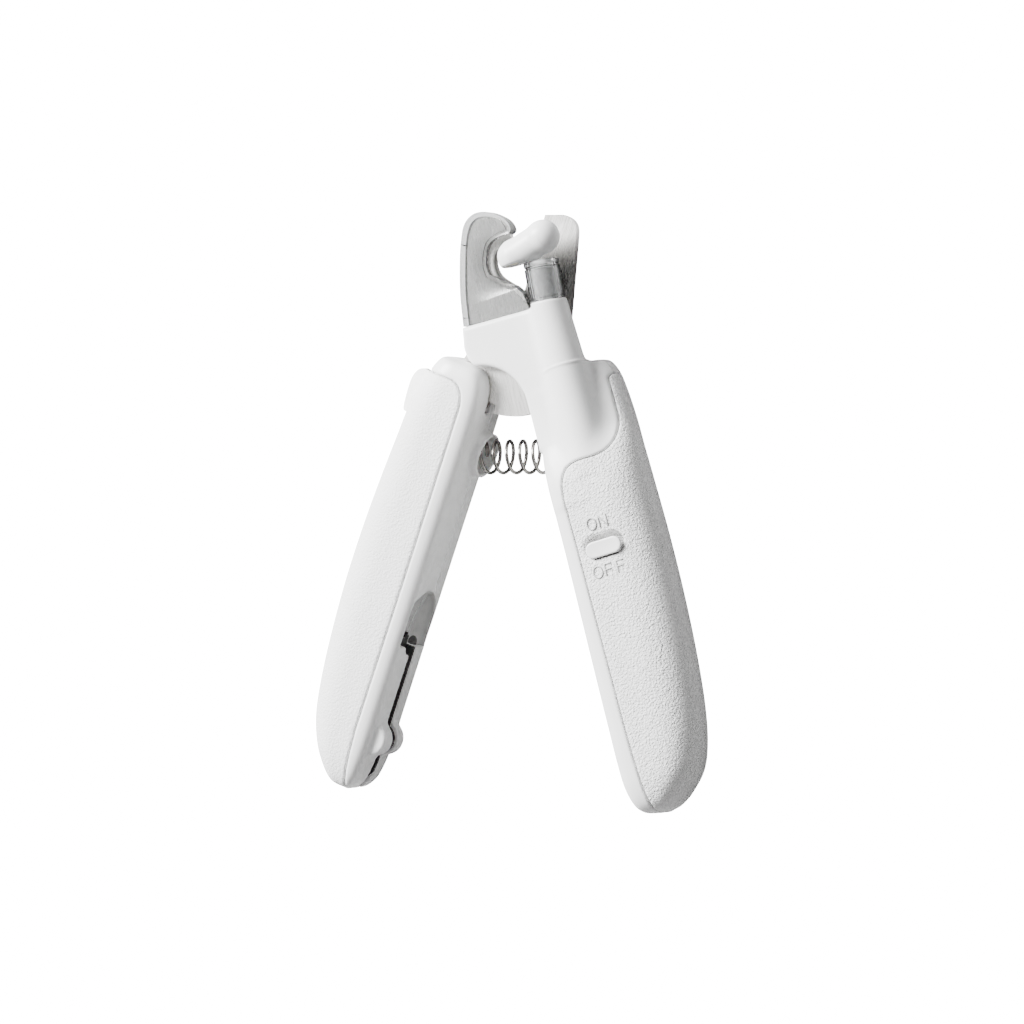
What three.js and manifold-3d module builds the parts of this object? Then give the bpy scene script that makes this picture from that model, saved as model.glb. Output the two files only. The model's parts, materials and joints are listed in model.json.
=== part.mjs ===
// A plier-type pet nail clipper with an LED lamp, lying on its back with its handles open.
// Millimetres. X is to the right, Y runs towards the jaws, Z towards the front.
// The origin is on the pivot axis, in the plane that the clipper rests on.
// Each half is drawn with its handle along -Y, and is then turned about the pivot.
import * as THREE from 'three';
import { mergeVertices } from 'three/addons/utils/BufferGeometryUtils.js';
import Module from 'manifold-3d';

const wasm = await Module();
wasm.setup();

// ---------------------------------------------------------------- driving dimensions
const DEGREE = Math.PI / 180;
const RIGHT_TURN = 16.1 * DEGREE; // the half with the right handle and the left jaw
const LEFT_TURN = -19.6 * DEGREE; // the half with the left handle and the right jaw

const SPLIT = 8.3; // height of the joint between back and front shells
const SEAM = 0.05; // half of the gap along that joint
const FIT = 0.3; // gap between neighbouring pieces
const WALL = 2.2; // of the shells
const SKIN = 1.2; // thickness of the grip panels
const GRIP_BACK = 6; // the grip panels wrap round each handle's outer side to here

const REAR_BLADE = { back: 7.6, front: 9.8 };
const FRONT_BLADE = { back: 10.2, front: 12.4 };
const SECTOR_RADIUS = 19.2; // guard sector of the front blade
const SECTOR_START = -141 * DEGREE;
const SECTOR_END = -60 * DEGREE;
const PIVOT_RADIUS = 3;
const HEAD_FRONT = 16.2; // front face of the white head
const COVE = { x: -12.56, y: -16.46, radius: 13.5 }; // clears the other handle's shoulder

const CATCHER = { lip: 8.8, back: 10.1, front: 14.3, wall: 1.1 };

const LAMP_FOOT = new THREE.Vector3(14.9, 7.5, 17);
const LAMP_TOP = new THREE.Vector3(16, 18.7, 17.4);
const LAMP_BALL = new THREE.Vector3(19.2, 24.1, 19.4);
const LAMP_NOSE = new THREE.Vector3(9.4, 21.6, 18.6);
const LAMP_RADIUS = 4.8;
const LAMP_LENGTH = 11; // of the clear collar and the stem inside it
const BALL_RADIUS = 4.5;
const NOSE_RADIUS = 4.5;
const MOUTH_Y = 19.3; // the hood's flat mouth, which the lamp shines out of

const SWITCH = { x: 13.5, y: -59.5, length: 10.4, width: 4.4, travel: 1.4, front: 21 };
const CELL = { radius: 5.8, height: 5.2, x: 13.6, y: -84.2, z: 9.6, pitch: 5.4 };

const DOOR_SCREW_Y = -109.9;

const SPRING = { radius: 4.3, wire: 0.5, pitch: 3.86, front: -9.67, y: -30, z: 8, left: -11.6,
  right: 11.4 };
const SPRING_SEAT = { y: -31.2, z: 8, radius: 6.1, well: 5.3 };

const LOCK_PIN = { x: -17.4, y: -13.8, radius: 1.1 };
const FILE_PIN = { x: -2.8, y: -113.4, radius: 1.1 };
const FILE_PLATE = { back: 8.6, front: 10.4 };
const FILE_SLOT_FRONT = 11.4;

const WHITE = 0xeeeeec;
const GRIP = 0xe4e4e2;
const STEEL = 0xb9bbbc;
const CLEAR = 0xdfe6e8;

// ---------------------------------------------------------------- making solids
const at = (x, y) => new THREE.Vector2(x, y);

const polar = (radius, angle) => at(radius * Math.cos(angle), radius * Math.sin(angle));

// A closed solid from a geometry: shared corners are merged and empty triangles dropped.
function solid(geometry) {
  const bare = geometry.clone();
  bare.deleteAttribute('normal');
  bare.deleteAttribute('uv');
  const merged = mergeVertices(bare, 1e-4);
  const places = merged.attributes.position.array;
  const corners = merged.index.array;
  const triangles = [];
  let volume = 0;
  for (let i = 0; i < corners.length; i += 3) {
    const [a, b, c] = [corners[i], corners[i + 1], corners[i + 2]];
    if (a === b || b === c || c === a) continue;
    triangles.push(a, b, c);
    const [p, q, r] = [a, b, c].map((n) => new THREE.Vector3().fromArray(places, 3 * n));
    volume += p.dot(q.cross(r));
  }
  if (volume < 0) triangles.reverse();
  return new wasm.Manifold(new wasm.Mesh({
    numProp: 3,
    vertProperties: new Float32Array(places),
    triVerts: new Uint32Array(triangles),
  }));
}

const join = (...solids) => solids.reduce((a, b) => a.add(b));

const cut = (body, ...tools) => tools.reduce((a, b) => a.subtract(b), body);

// An outline pulled up between two heights.
function slab(points, back, front) {
  const shape = new THREE.Shape(points);
  const geometry = new THREE.ExtrudeGeometry(shape, { depth: front - back, bevelEnabled: false });
  return solid(geometry.translate(0, 0, back));
}

// The same with both rims rounded: the outline is the widest section.
function softSlab(points, back, front, size, rise = size, steps = 3) {
  const shape = new THREE.Shape(points);
  const geometry = new THREE.ExtrudeGeometry(shape, {
    depth: front - back - 2 * rise,
    bevelSize: size,
    bevelThickness: rise,
    bevelOffset: -size,
    bevelSegments: steps,
  });
  return solid(geometry.translate(0, 0, back + rise));
}

function block(x0, x1, y0, y1, z0, z1) {
  const geometry = new THREE.BoxGeometry(x1 - x0, y1 - y0, z1 - z0);
  return solid(geometry.translate((x0 + x1) / 2, (y0 + y1) / 2, (z0 + z1) / 2));
}

// An upright round post.
function post(x, y, radius, back, front, sides = 20) {
  const geometry = new THREE.CylinderGeometry(radius, radius, front - back, sides);
  return solid(geometry.rotateX(Math.PI / 2).translate(x, y, (back + front) / 2));
}

// A geometry drawn along +Y from the origin, moved to run from one point towards another.
function aim(geometry, from, to) {
  const way = to.clone().sub(from).normalize();
  const turn = new THREE.Quaternion().setFromUnitVectors(new THREE.Vector3(0, 1, 0), way);
  return solid(geometry.applyQuaternion(turn).translate(from.x, from.y, from.z));
}

function rod(from, to, startRadius, endRadius = startRadius, sides = 24) {
  const length = from.distanceTo(to);
  const geometry = new THREE.CylinderGeometry(endRadius, startRadius, length, sides);
  return aim(geometry.translate(0, length / 2, 0), from, to);
}

// A turned piece: profile gives radius and height, from axis to axis.
function turned(profile, from, to, sides = 28) {
  return aim(new THREE.LatheGeometry(profile.map(([r, h]) => at(r, h)), sides), from, to);
}

// An upright round post with a rounded rim at each end.
function button(x, y, radius, back, front, rim = 1) {
  const profile = [[0, back], [radius - rim, back], [radius - 0.3 * rim, back + 0.3 * rim],
    [radius, back + rim], [radius, front - rim], [radius - 0.3 * rim, front - 0.3 * rim],
    [radius - rim, front], [0, front]];
  return turned(profile, new THREE.Vector3(x, y, 0), new THREE.Vector3(x, y, 1));
}

function ball(centre, radius, sides = 24) {
  const geometry = new THREE.SphereGeometry(radius, sides, sides / 2);
  return solid(geometry.translate(centre.x, centre.y, centre.z));
}

// The outline moved inwards by a distance. It runs anticlockwise.
function inset(points, distance) {
  const count = points.length;
  return points.map((point, i) => {
    const before = points[(i + count - 1) % count];
    const after = points[(i + 1) % count];
    const arriving = point.clone().sub(before).normalize();
    const leaving = after.clone().sub(point).normalize();
    const along = arriving.add(leaving).normalize();
    const square = Math.max(0.5, along.dot(leaving));
    return at(point.x - (along.y * distance) / square, point.y + (along.x * distance) / square);
  });
}

// Points of a closed path, anticlockwise, without any that repeat the one before.
function outline(path, divisions = 3) {
  const points = path.getPoints(divisions);
  const apart = points.filter((p, i) => p.distanceTo(points[(i + 1) % points.length]) > 0.02);
  return THREE.ShapeUtils.isClockWise(apart) ? apart.reverse() : apart;
}

function piece(name, body, colour, roughness = 0.5, metalness = 0, opacity = 1) {
  const mesh = body.getMesh();
  const geometry = new THREE.BufferGeometry();
  geometry.setAttribute('position', new THREE.BufferAttribute(mesh.vertProperties, 3));
  geometry.setIndex(new THREE.BufferAttribute(mesh.triVerts, 1));
  geometry.computeVertexNormals();
  const material = new THREE.MeshStandardMaterial({
    color: colour, roughness, metalness, opacity, transparent: opacity < 1,
  });
  const result = new THREE.Mesh(geometry, material);
  result.name = name;
  return result;
}

// ---------------------------------------------------------------- handle forms
// Stations along each handle: place along Y, then the section's limits in X and in Z.
const RIGHT_STATIONS = [
  [-9.9, 6.5, 20.6, 2.6, 11.7], [-11, 4, 23, 0.9, 13.2], [-14.5, 1.6, 24.7, 0, 13.7],
  [-20, 1, 25.6, 0, 14], [-28, 1, 26.2, 0, 15], [-36, 1, 26.6, 0, 18.4],
  [-44, 0.9, 26.9, 0, 20], [-60, 0.7, 27.1, 0, 20], [-76, 0.4, 26.8, 0, 20],
  [-92, 0.1, 25.9, 0, 20], [-106, -0.1, 24.4, 0, 20], [-116, -0.2, 22.3, 0, 20],
  [-123, 0.1, 19.3, 0.2, 19.7], [-128, 1.3, 14.4, 1.2, 18.4], [-130.5, 3.2, 10.8, 3.4, 16],
  [-131.6, 5.6, 9, 6.6, 12.4],
];
const LEFT_STATIONS = [
  [-8.5, -15.8, -7.6, 4, 16.4], [-9.3, -17.8, -5, 1.6, 18.7], [-11.6, -19.4, -3, 0.4, 19.7],
  [-16, -21, -1.7, 0, 20], [-24, -23.2, -1.3, 0, 20], [-34, -24, -1.3, 0, 20],
  [-46, -24.8, -1.3, 0, 20], [-60, -25.4, -1.3, 0, 20], [-76, -25.4, -1.3, 0, 20],
  [-92, -24.5, -1.3, 0, 20], [-104, -23.2, -1.3, 0, 20], [-113, -21.4, -1.3, 0, 20],
  [-120, -18.4, -1.6, 0.2, 19.8], [-125, -14.8, -2.4, 1.2, 18.8], [-128, -11.6, -4, 3, 17],
  [-129.4, -8.8, -5.4, 6.5, 13.5],
];
const BOXY = 5.5; // squareness of a section's quarter: 2 is round
const ROUND = 2.5;
const ROUND_BACK = 3.2;

// Values between stations, on a smooth curve through them.
function between(stations, t) {
  const last = stations.length - 1;
  const place = Math.min(t * last, last - 1e-9);
  const n = Math.floor(place);
  const u = place - n;
  const pick = (i) => stations[Math.max(0, Math.min(last, i))];
  return stations[0].map((_, k) => {
    const [a, b, c, d] = [pick(n - 1)[k], pick(n)[k], pick(n + 1)[k], pick(n + 2)[k]];
    const bend = (2 * a - 5 * b + 4 * c - d) * u * u + (3 * b - a - 3 * c + d) * u ** 3;
    return b + 0.5 * ((c - a) * u + bend);
  });
}

// A body whose sections are soft rectangles, with its outer side rounder than its inner side.
function loft(stations, outerSide, thinner = 0, steps = 22, sides = 16) {
  const geometry = new THREE.CylinderGeometry(1, 1, 1, sides, steps);
  const places = geometry.attributes.position;
  for (let i = 0; i < places.count; i += 1) {
    const t = places.getY(i) + 0.5;
    const [y, x0, x1, z0, z1] = between(stations, t);
    const angle = Math.atan2(places.getZ(i), places.getX(i));
    const reach = Math.min(1, Math.hypot(places.getX(i), places.getZ(i)));
    const [across, up] = [Math.cos(angle), Math.sin(angle)].map((v) => Math.round(v * 1e6) / 1e6);
    const outer = up > 0 ? ROUND : ROUND_BACK;
    const power = 2 / (across * outerSide > 0 ? outer : BOXY);
    const wide = Math.sign(across) * Math.abs(across) ** power * reach;
    const high = Math.sign(up) * Math.abs(up) ** power * reach;
    places.setXYZ(i, (x0 + x1) / 2 + wide * ((x1 - x0) / 2 - thinner),
      y + thinner * (2 * t - 1), (z0 + z1) / 2 + high * ((z1 - z0) / 2 - thinner));
  }
  return solid(geometry);
}

// ---------------------------------------------------------------- outlines
// White body around the pivot, with the cove that clears the other handle.
function headOutline() {
  const path = new THREE.Path();
  path.moveTo(-11.8, 8.2);
  path.lineTo(-12.8, 3);
  path.quadraticCurveTo(-12.9, -2.3, -9.75, -3.26);
  path.absarc(COVE.x, COVE.y, COVE.radius, 78 * DEGREE, 0, true);
  path.lineTo(1, -30);
  path.lineTo(16, -30);
  path.lineTo(15.6, 7);
  return outline(path, 6);
}

function grippedRegion() {
  const path = new THREE.Path();
  path.moveTo(5.8, -46);
  path.quadraticCurveTo(5.9, -38, 9.4, -36.5);
  path.quadraticCurveTo(11.4, -35.7, 15.4, -35.9);
  path.quadraticCurveTo(23.6, -36.2, 23.9, -27);
  path.lineTo(23.4, -16.6);
  path.quadraticCurveTo(23.4, -15, 25.6, -15);
  path.lineTo(34, -15);
  path.lineTo(34, -140);
  path.lineTo(7.4, -140);
  path.quadraticCurveTo(5.9, -122, 5.8, -104);
  return outline(path, 4);
}

function leftGripRegion() {
  const path = new THREE.Path();
  path.moveTo(-6.1, -21);
  path.quadraticCurveTo(-6.4, -14.8, -10.6, -13.9);
  path.lineTo(-32, -13.9);
  path.lineTo(-32, -140);
  path.lineTo(-4.2, -140);
  path.quadraticCurveTo(-5.6, -124, -6.1, -112);
  return outline(path, 4);
}

function frontJawOutline() {
  const path = new THREE.Path();
  path.moveTo(-10.7, 0);
  path.lineTo(9.6, 0);
  path.lineTo(7.4, 9);
  path.lineTo(6.6, 13);
  path.splineThru([at(4.2, 15.8), at(1.6, 18.8), at(0.9, 21.8), at(1.7, 24.8), at(4, 26.5),
    at(7.2, 27.5)]);
  path.lineTo(7.4, 31);
  path.splineThru([at(5, 34), at(1, 35.4), at(-2.4, 34.2), at(-4.8, 30.5), at(-6.9, 24.4),
    at(-8.9, 16.8), at(-10.3, 9.2)]);
  return outline(path, 2);
}

function catcherOutline() {
  const path = new THREE.Path();
  path.moveTo(-11.9, 8.6);
  path.lineTo(7.9, 7.6);
  path.lineTo(7.3, 12);
  path.lineTo(5.3, 14.9);
  path.lineTo(-0.6, 19.7);
  path.splineThru([at(-1, 21), at(-0.7, 23.6), at(1.1, 27.3), at(4, 28.7), at(7.6, 28.7)]);
  path.splineThru([at(8.6, 29.6), at(8.2, 31.8), at(6.4, 34), at(3, 36.3), at(-0.8, 36.8),
    at(-4.1, 34.9), at(-6.4, 30.5), at(-8.5, 24.4), at(-10.5, 16.8), at(-11.9, 8.6)]);
  return outline(path, 2);
}

function rearJawOutline() {
  const path = new THREE.Path();
  path.moveTo(-11, 0);
  path.lineTo(12, 0);
  path.lineTo(12.2, 11);
  path.lineTo(7.4, 30);
  path.splineThru([at(6.2, 34.2), at(5, 36.1), at(3, 37), at(0.7, 37.1)]);
  path.lineTo(-4, 35.5);
  path.lineTo(-2.8, 14);
  path.quadraticCurveTo(-2.4, 9, -9, 6);
  return outline(path, 2);
}

function pie(radius, start, end) {
  const path = new THREE.Path();
  path.moveTo(0, 0);
  path.lineTo(radius * Math.cos(start), radius * Math.sin(start));
  path.absarc(0, 0, radius, start, end, false);
  return outline(path, 12);
}

function lockLeverOutline() {
  return [
    at(-17.4, -11.5), at(-18.8, -12), at(-19.2, -13.2), at(-20.3, -14.8), at(-22.6, -14.4),
    at(-24.6, -15.8), at(-25.5, -19.2), at(-25.1, -26.2), at(-23.8, -27.2), at(-21.6, -25.2),
    at(-18.6, -20.6), at(-15.7, -19), at(-12.7, -20.6), at(-11.5, -18.8), at(-10.5, -16.8),
    at(-11.5, -16.1), at(-13.1, -17.7), at(-13.9, -17.1), at(-15.5, -13.5), at(-15.8, -12.3),
  ].reverse();
}

function fileOutline() {
  const path = new THREE.Path();
  path.absarc(FILE_PIN.x, FILE_PIN.y, 3.9, 0, -165 * DEGREE, true);
  path.lineTo(-9.6, -110);
  path.lineTo(-10.4, -107);
  path.lineTo(-10.4, -88);
  path.quadraticCurveTo(-10, -84.6, -6, -84.4);
  path.lineTo(-4.4, -84.6);
  path.lineTo(-4.2, -106);
  path.lineTo(-2.5, -109.4);
  return outline(path, 8);
}

function slot(x, y, length, width, turn = 0) {
  const path = new THREE.Path();
  const reach = (length - width) / 2;
  path.absarc(reach, 0, width / 2, -Math.PI / 2, Math.PI / 2, false);
  path.absarc(-reach, 0, width / 2, Math.PI / 2, 1.5 * Math.PI, false);
  const centre = at(0, 0);
  return outline(path, 6).map((p) => p.rotateAround(centre, turn).add(at(x, y)));
}

// ---------------------------------------------------------------- handle bodies
const frontPart = () => block(-60, 60, -160, 60, SPLIT + SEAM, 40);
const backPart = () => block(-60, 60, -160, 60, -5, SPLIT - SEAM);

// The cavity inside a handle between two places along it.
function cavity(stations, outerSide, low, high) {
  return loft(stations, outerSide, WALL, 12, 12).intersect(block(-60, 60, low, high, -5, 40));
}

const RIGHT_SCREWS = [[20.8, -20.5, 11.6], [12.6, -45, 15], [10, -122, 15]];
const LEFT_SCREWS = [[-20.2, -36, 15], [-13, -46, 15], [-13, -81, 15], [-12.6, -117.5, 15]];
const RIGHT_RIVETS = [[9.6, -23], [11, -34]];
const LEFT_RIVETS = [[-9.8, -33.8], [-12, -40.8]];
const SCREW = { head: 2.4, shank: 1.1, headBack: 0.8, headFront: 2.8 };

const screwHole = ([x, y, tip]) => join(
  post(x, y, SCREW.head + 0.25, -1, SCREW.headFront + 0.1, 16),
  post(x, y, SCREW.shank + 0.15, 0, tip + 0.4, 12),
);

// ---------------------------------------------------------------- right half
const lampDirection = LAMP_TOP.clone().sub(LAMP_FOOT).normalize();
const alongLamp = (distance) => LAMP_FOOT.clone().addScaledVector(lampDirection, distance);
const TUBE_ROOT = new THREE.Vector3(13.4, -38, 12.6);
const TUBE_RADIUS = 6.3;
const WIRE_START = new THREE.Vector3(16.4, -52, 14.6);

function frontBladePlate(grow = 0) {
  const { back, front } = FRONT_BLADE;
  const tang = [at(3, -41), at(17, -41), at(16.6, -13), at(10, 0), at(-4, 0), at(3, -12)];
  const parts = [frontJawOutline(), pie(SECTOR_RADIUS, SECTOR_START, SECTOR_END), tang];
  const grown = parts.map((points) => slab(grow ? inset(points, -grow) : points,
    back - grow / 2, front + grow / 2));
  return join(...grown, post(0, 0, 12 + grow, back - grow / 2, front + grow / 2, 40));
}

function leftBlade() {
  // The notch in the guard sector that the lock's tooth drops into when the handles are shut.
  const notch = [-131.6, -122].map((a) => (a - 2.7) * DEGREE);
  const gap = [polar(16.9, notch[0]), polar(16.9, notch[1]), polar(23, notch[1]),
    polar(23, notch[0])];
  const holes = RIGHT_RIVETS.map(([x, y]) => post(x, y, 1.6, 8, 14, 16));
  const bevel = rod(new THREE.Vector3(6.2, 21.3, 10.8), new THREE.Vector3(6.2, 21.3, 12.6), 5, 7.2);
  return cut(frontBladePlate(), slab(gap, 9, 14), post(0, 0, PIVOT_RADIUS + 0.15, 8, 14), bevel,
    ...holes);
}

// The slope that carries the head's flat front up to the handle's.
const BRIDGE = [
  [-15, 1.8, 13, 0.6, 15.4], [-22, 1.6, 14.6, 0.6, 16.2], [-30, 1.6, 16, 0.6, 17.4],
  [-38, 1.8, 17, 0.6, 18.9], [-46, 2.6, 17, 0.6, 19.2],
];

function rightFrontShell() {
  const handle = loft(RIGHT_STATIONS, 1);
  const bridge = loft(BRIDGE, 1, 0, 8);
  const head = softSlab(headOutline(), 10.35, HEAD_FRONT, 1, 1, 2);
  const tube = rod(alongLamp(1.2), TUBE_ROOT, LAMP_RADIUS, TUBE_RADIUS, 24);
  const body = join(handle, bridge, head, tube).intersect(frontPart());
  return cut(body, rod(alongLamp(0), alongLamp(16), 8, 8, 20), frontBladePlate(FIT),
    post(0, 0, 14.2, 0, 10.15, 32),
    gripSkin(RIGHT_STATIONS, 1, grippedRegion(), FIT), cavity(RIGHT_STATIONS, 1, -118, -49.5),
    post(0, 0, 6, 12, 14.8, 28),
    rod(WIRE_START, alongLamp(1), 1.9, 1.9, 12),
    slab(switchOpening(), 14, 24), springWell(-1), ...RIGHT_SCREWS.map(screwHole),
    ...RIGHT_RIVETS.map(([x, y]) => post(x, y, 1.7, 7, 14.2, 16)));
}

function rightBackShell() {
  const doorway = slab(slot(CELL.x, -96.4, 34, 14.4, Math.PI / 2), -1, 1.75);
  const hatch = block(CELL.x - 6.1, CELL.x + 6.1, -107.4, -82.6, -1, 9);
  return cut(loft(RIGHT_STATIONS, 1).intersect(backPart()), post(0, 0, 14.2, -1, 12, 32),
    cavity(RIGHT_STATIONS, 1, -118, -49.5).intersect(block(-60, 60, -160, 60, 3.6, 40)),
    gripSkin(RIGHT_STATIONS, 1, grippedRegion(), FIT),
    doorway, hatch, post(CELL.x, DOOR_SCREW_Y, 1.3, -1, 6, 12), springWell(-1),
    ...RIGHT_SCREWS.map(screwHole), ...RIGHT_RIVETS.map(([x, y]) => post(x, y, 1.7, 7, 14, 16)));
}

// A grip panel: a handle's outer skin within a region. With a gap, it is the tool that cuts its bed.
function gripSkin(stations, outerSide, region, gap = 0) {
  const core = loft(stations, outerSide, SKIN + gap);
  const outer = loft(stations, outerSide, gap ? -2 : 0);
  const area = slab(gap ? inset(region, -gap) : region, GRIP_BACK - gap, 40);
  return outer.intersect(area).subtract(core);
}

const switchOpening = () => slot(SWITCH.x, SWITCH.y, SWITCH.length + 1,
  SWITCH.width + SWITCH.travel + 0.6);

const rightGrip = () => cut(gripSkin(RIGHT_STATIONS, 1, grippedRegion()),
  slab(switchOpening(), 10, 40));

const LED_X = 9;
const ledSeat = (inwards) => new THREE.Vector3(LED_X, 22.8 + inwards, LAMP_NOSE.z);

function lampHood() {
  const body = join(ball(LAMP_BALL, BALL_RADIUS), ball(LAMP_NOSE, NOSE_RADIUS, 20),
    rod(LAMP_BALL, LAMP_NOSE, BALL_RADIUS - 0.35, NOSE_RADIUS, 24));
  const mouth = block(-20, LED_X + 4.5, 8, MOUTH_Y, 10, 30);
  const bore = rod(ledSeat(-6), ledSeat(0.6), 2.9, 2.1, 16);
  const channel = rod(ledSeat(-0.8), LAMP_BALL, 1.3, 1.3, 12);
  const down = rod(LAMP_BALL, alongLamp(LAMP_LENGTH - 0.2), 1.3, 1.3, 12);
  const neck = rod(alongLamp(-8), alongLamp(LAMP_LENGTH + 0.2), 12, 12, 20);
  return cut(body, mouth, bore, channel, down, neck.intersect(block(LED_X + 4, 40, 0, 40, 0, 40)));
}

function rightHalf() {
  const clearCollar = turned([[3.6, 0.3], [LAMP_RADIUS, 0.3], [LAMP_RADIUS, LAMP_LENGTH - 0.6],
    [LAMP_RADIUS - 0.5, LAMP_LENGTH], [3.6, LAMP_LENGTH], [3.6, 0.3]], LAMP_FOOT, LAMP_TOP);
  const stem = turned([[1.4, 0.3], [3.3, 0.3], [3.3, LAMP_LENGTH], [1.4, LAMP_LENGTH],
    [1.4, 0.3]], LAMP_FOOT, LAMP_TOP);
  const led = turned([[0, 0], [1.7, 0], [1.7, 0.8], [1.5, 0.8], [1.5, 2.2], [1.1, 3.1], [0, 3.5]],
    ledSeat(0), ledSeat(-4), 16);
  const group = new THREE.Group();
  group.add(
    piece('right_front_shell', rightFrontShell(), WHITE),
    piece('right_back_shell', rightBackShell(), WHITE),
    piece('right_grip', rightGrip(), GRIP, 0.75),
    piece('left_blade', leftBlade(), STEEL, 0.25, 1),
    piece('lamp_collar', clearCollar, CLEAR, 0.1, 0, 0.5),
    piece('lamp_stem', stem, WHITE),
    piece('lamp_hood', lampHood(), WHITE),
    piece('led', led, 0xfdf6d8, 0.2),
    ...lampWires(),
    ...pivotParts(),
    ...electrics(),
    ...fasteners('right', RIGHT_SCREWS, RIGHT_RIVETS, [8.6, 13.9]),
    piece('nail_catcher', nailCatcher(), CLEAR, 0.1, 0, 0.5),
  );
  group.rotation.z = RIGHT_TURN;
  return group;
}

// Two fine wires run from the board through the lamp tube and stop under the hood.
function lampWires() {
  const ring = new THREE.Shape();
  ring.absarc(0, 0, 0.45, 0, 2 * Math.PI, false);
  return [-0.7, 0.7].map((side, i) => {
    const route = new THREE.CatmullRomCurve3([
      new THREE.Vector3(16.3 + side, -50.2, 14.7),
      new THREE.Vector3(16 + side, -40, 15),
      new THREE.Vector3(15.2 + side, -10, 16.1),
      alongLamp(-2).add(new THREE.Vector3(side, 0, 0)),
      alongLamp(LAMP_LENGTH - 0.8).add(new THREE.Vector3(side, 0, 0)),
    ]);
    const wire = new THREE.ExtrudeGeometry(ring, { steps: 12, extrudePath: route,
      curveSegments: 3, bevelEnabled: false });
    return piece(`led_wire_${i + 1}`, solid(wire), i ? 0x222222 : 0xb03028, 0.6);
  });
}

function pivotParts() {
  const bolt = join(post(0, 0, PIVOT_RADIUS, 3.4, 12.6), post(0, 0, 5.6, 12.5, 14.5, 28));
  const nut = cut(post(0, 0, 5.6, 4.4, 7.4, 6), post(0, 0, PIVOT_RADIUS + 0.15, 4, 8));
  const washer = cut(post(0, 0, 5.5, 9.9, 10.1, 28), post(0, 0, PIVOT_RADIUS + 0.15, 9, 11));
  const cap = cut(button(0, 0, 8.5, 0, 9), post(0, 0, 6.1, 2.4, 12, 28),
    block(-20, 20, -20, 20, 7.3, 20));
  return [
    piece('pivot_bolt', bolt, STEEL, 0.3, 1),
    piece('pivot_nut', nut, STEEL, 0.35, 1),
    piece('pivot_washer', washer, 0xd8d8d4, 0.6),
    piece('pivot_cap', cap, WHITE),
  ];
}

function electrics() {
  const board = block(7.6, 20, -76, -51.6, 13.4, 14.4);
  const housing = block(9.6, 18, -62.6, -56.6, 14.5, 16.6);
  const resistor = block(12.4, 15.6, -70.6, -69, 14.5, 15.1);
  const cells = [0, 1, 2].map((n) => {
    const y = CELL.y - n * CELL.pitch;
    return piece(`button_cell_${n + 1}`, rod(new THREE.Vector3(CELL.x, y, CELL.z),
      new THREE.Vector3(CELL.x, y - CELL.height, CELL.z), CELL.radius), 0xc9cac8, 0.3, 1);
  });
  const plusPlate = block(9, 18.2, -83.9, -83.4, 5, 14.2);
  const springFoot = CELL.y - 3 * CELL.pitch;
  const spring = turned([[0, 0.3], [3, 0.3], [4.6, 4.2], [0, 4.2]],
    new THREE.Vector3(CELL.x, springFoot, CELL.z),
    new THREE.Vector3(CELL.x, springFoot - 5, CELL.z), 20);
  const door = cut(slab(slot(CELL.x, -96.4, 33.4, 13.8, Math.PI / 2), 0, 1.5),
    post(CELL.x, DOOR_SCREW_Y, 1.3, -1, 3, 12), post(CELL.x, DOOR_SCREW_Y, 2.1, -1, 0.7, 16));
  const doorScrew = join(post(CELL.x, DOOR_SCREW_Y, 1.9, 0.1, 0.65, 16),
    post(CELL.x, DOOR_SCREW_Y, 1, 0.5, 5, 12));
  const pill = slot(SWITCH.x, SWITCH.y - SWITCH.travel / 2, SWITCH.length, SWITCH.width);
  const knob = join(softSlab(pill, 16.9, SWITCH.front, 0.6, 0.6, 2),
    slab(slot(SWITCH.x, SWITCH.y, 6, 3), 16.8, 17.6));
  return [
    piece('circuit_board', board, 0x2f6b3c, 0.6),
    piece('switch_housing', housing, 0x9a9c9d, 0.4, 0.8),
    piece('led_resistor', resistor, 0x1c1c1c, 0.6),
    ...cells,
    piece('battery_contact', plusPlate, 0xc8b070, 0.35, 1),
    piece('battery_spring', spring, 0xb9bbbc, 0.35, 1),
    piece('battery_door', door, WHITE),
    piece('battery_door_screw', doorScrew, STEEL, 0.35, 1),
    piece('switch_knob', knob, WHITE),
  ];
}

function fasteners(side, screws, rivets, [rivetBack, rivetFront]) {
  const turnedScrews = screws.map(([x, y, tip], i) => {
    const body = join(post(x, y, SCREW.head, SCREW.headBack, SCREW.headFront, 16),
      post(x, y, SCREW.shank, SCREW.headFront - 0.1, tip, 12));
    return piece(`${side}_screw_${i + 1}`, body, STEEL, 0.35, 1);
  });
  const pins = rivets.map(([x, y], i) => piece(`${side}_rivet_${i + 1}`,
    post(x, y, 1.4, rivetBack, rivetFront, 16), STEEL, 0.3, 1));
  return [...turnedScrews, ...pins];
}

function nailCatcher() {
  const points = catcherOutline();
  const { lip, back, front, wall } = CATCHER;
  const shell = softSlab(points, back - 3, front, 0.8, 0.8, 2)
    .intersect(block(-40, 40, 0, 60, back, 30));
  const hollow = slab(inset(frontJawOutline(), -0.35), back - 1, front - wall)
    .intersect(block(-40, 40, 0, 60, 0, 30));
  const open = slab([at(-10.2, 5), at(14, 5), at(14, 30), at(6.6, 30.6), at(1, 34.6), at(-2.2, 33),
    at(-4.8, 28), at(-7.8, 18)], back - 1, front - wall);
  const rail = slab(points, lip, back + 0.2)
    .intersect(slab([at(-14, 11), at(-8.8, 11), at(-3.8, 29), at(-9, 31)], 0, 30));
  return cut(join(shell, rail), hollow.intersect(block(-40, 40, 0, 60, back - 0.1, 30)), open
    .intersect(block(-40, 40, 0, 60, 9.9, 30)));
}

// ---------------------------------------------------------------- left half
function leftSlots() {
  const guard = slab(pie(SECTOR_RADIUS + 1, -143 * DEGREE, -70 * DEGREE), 9.9, 12.9);
  return [guard, leverSlot(), rearBladePlate(FIT)];
}

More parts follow.
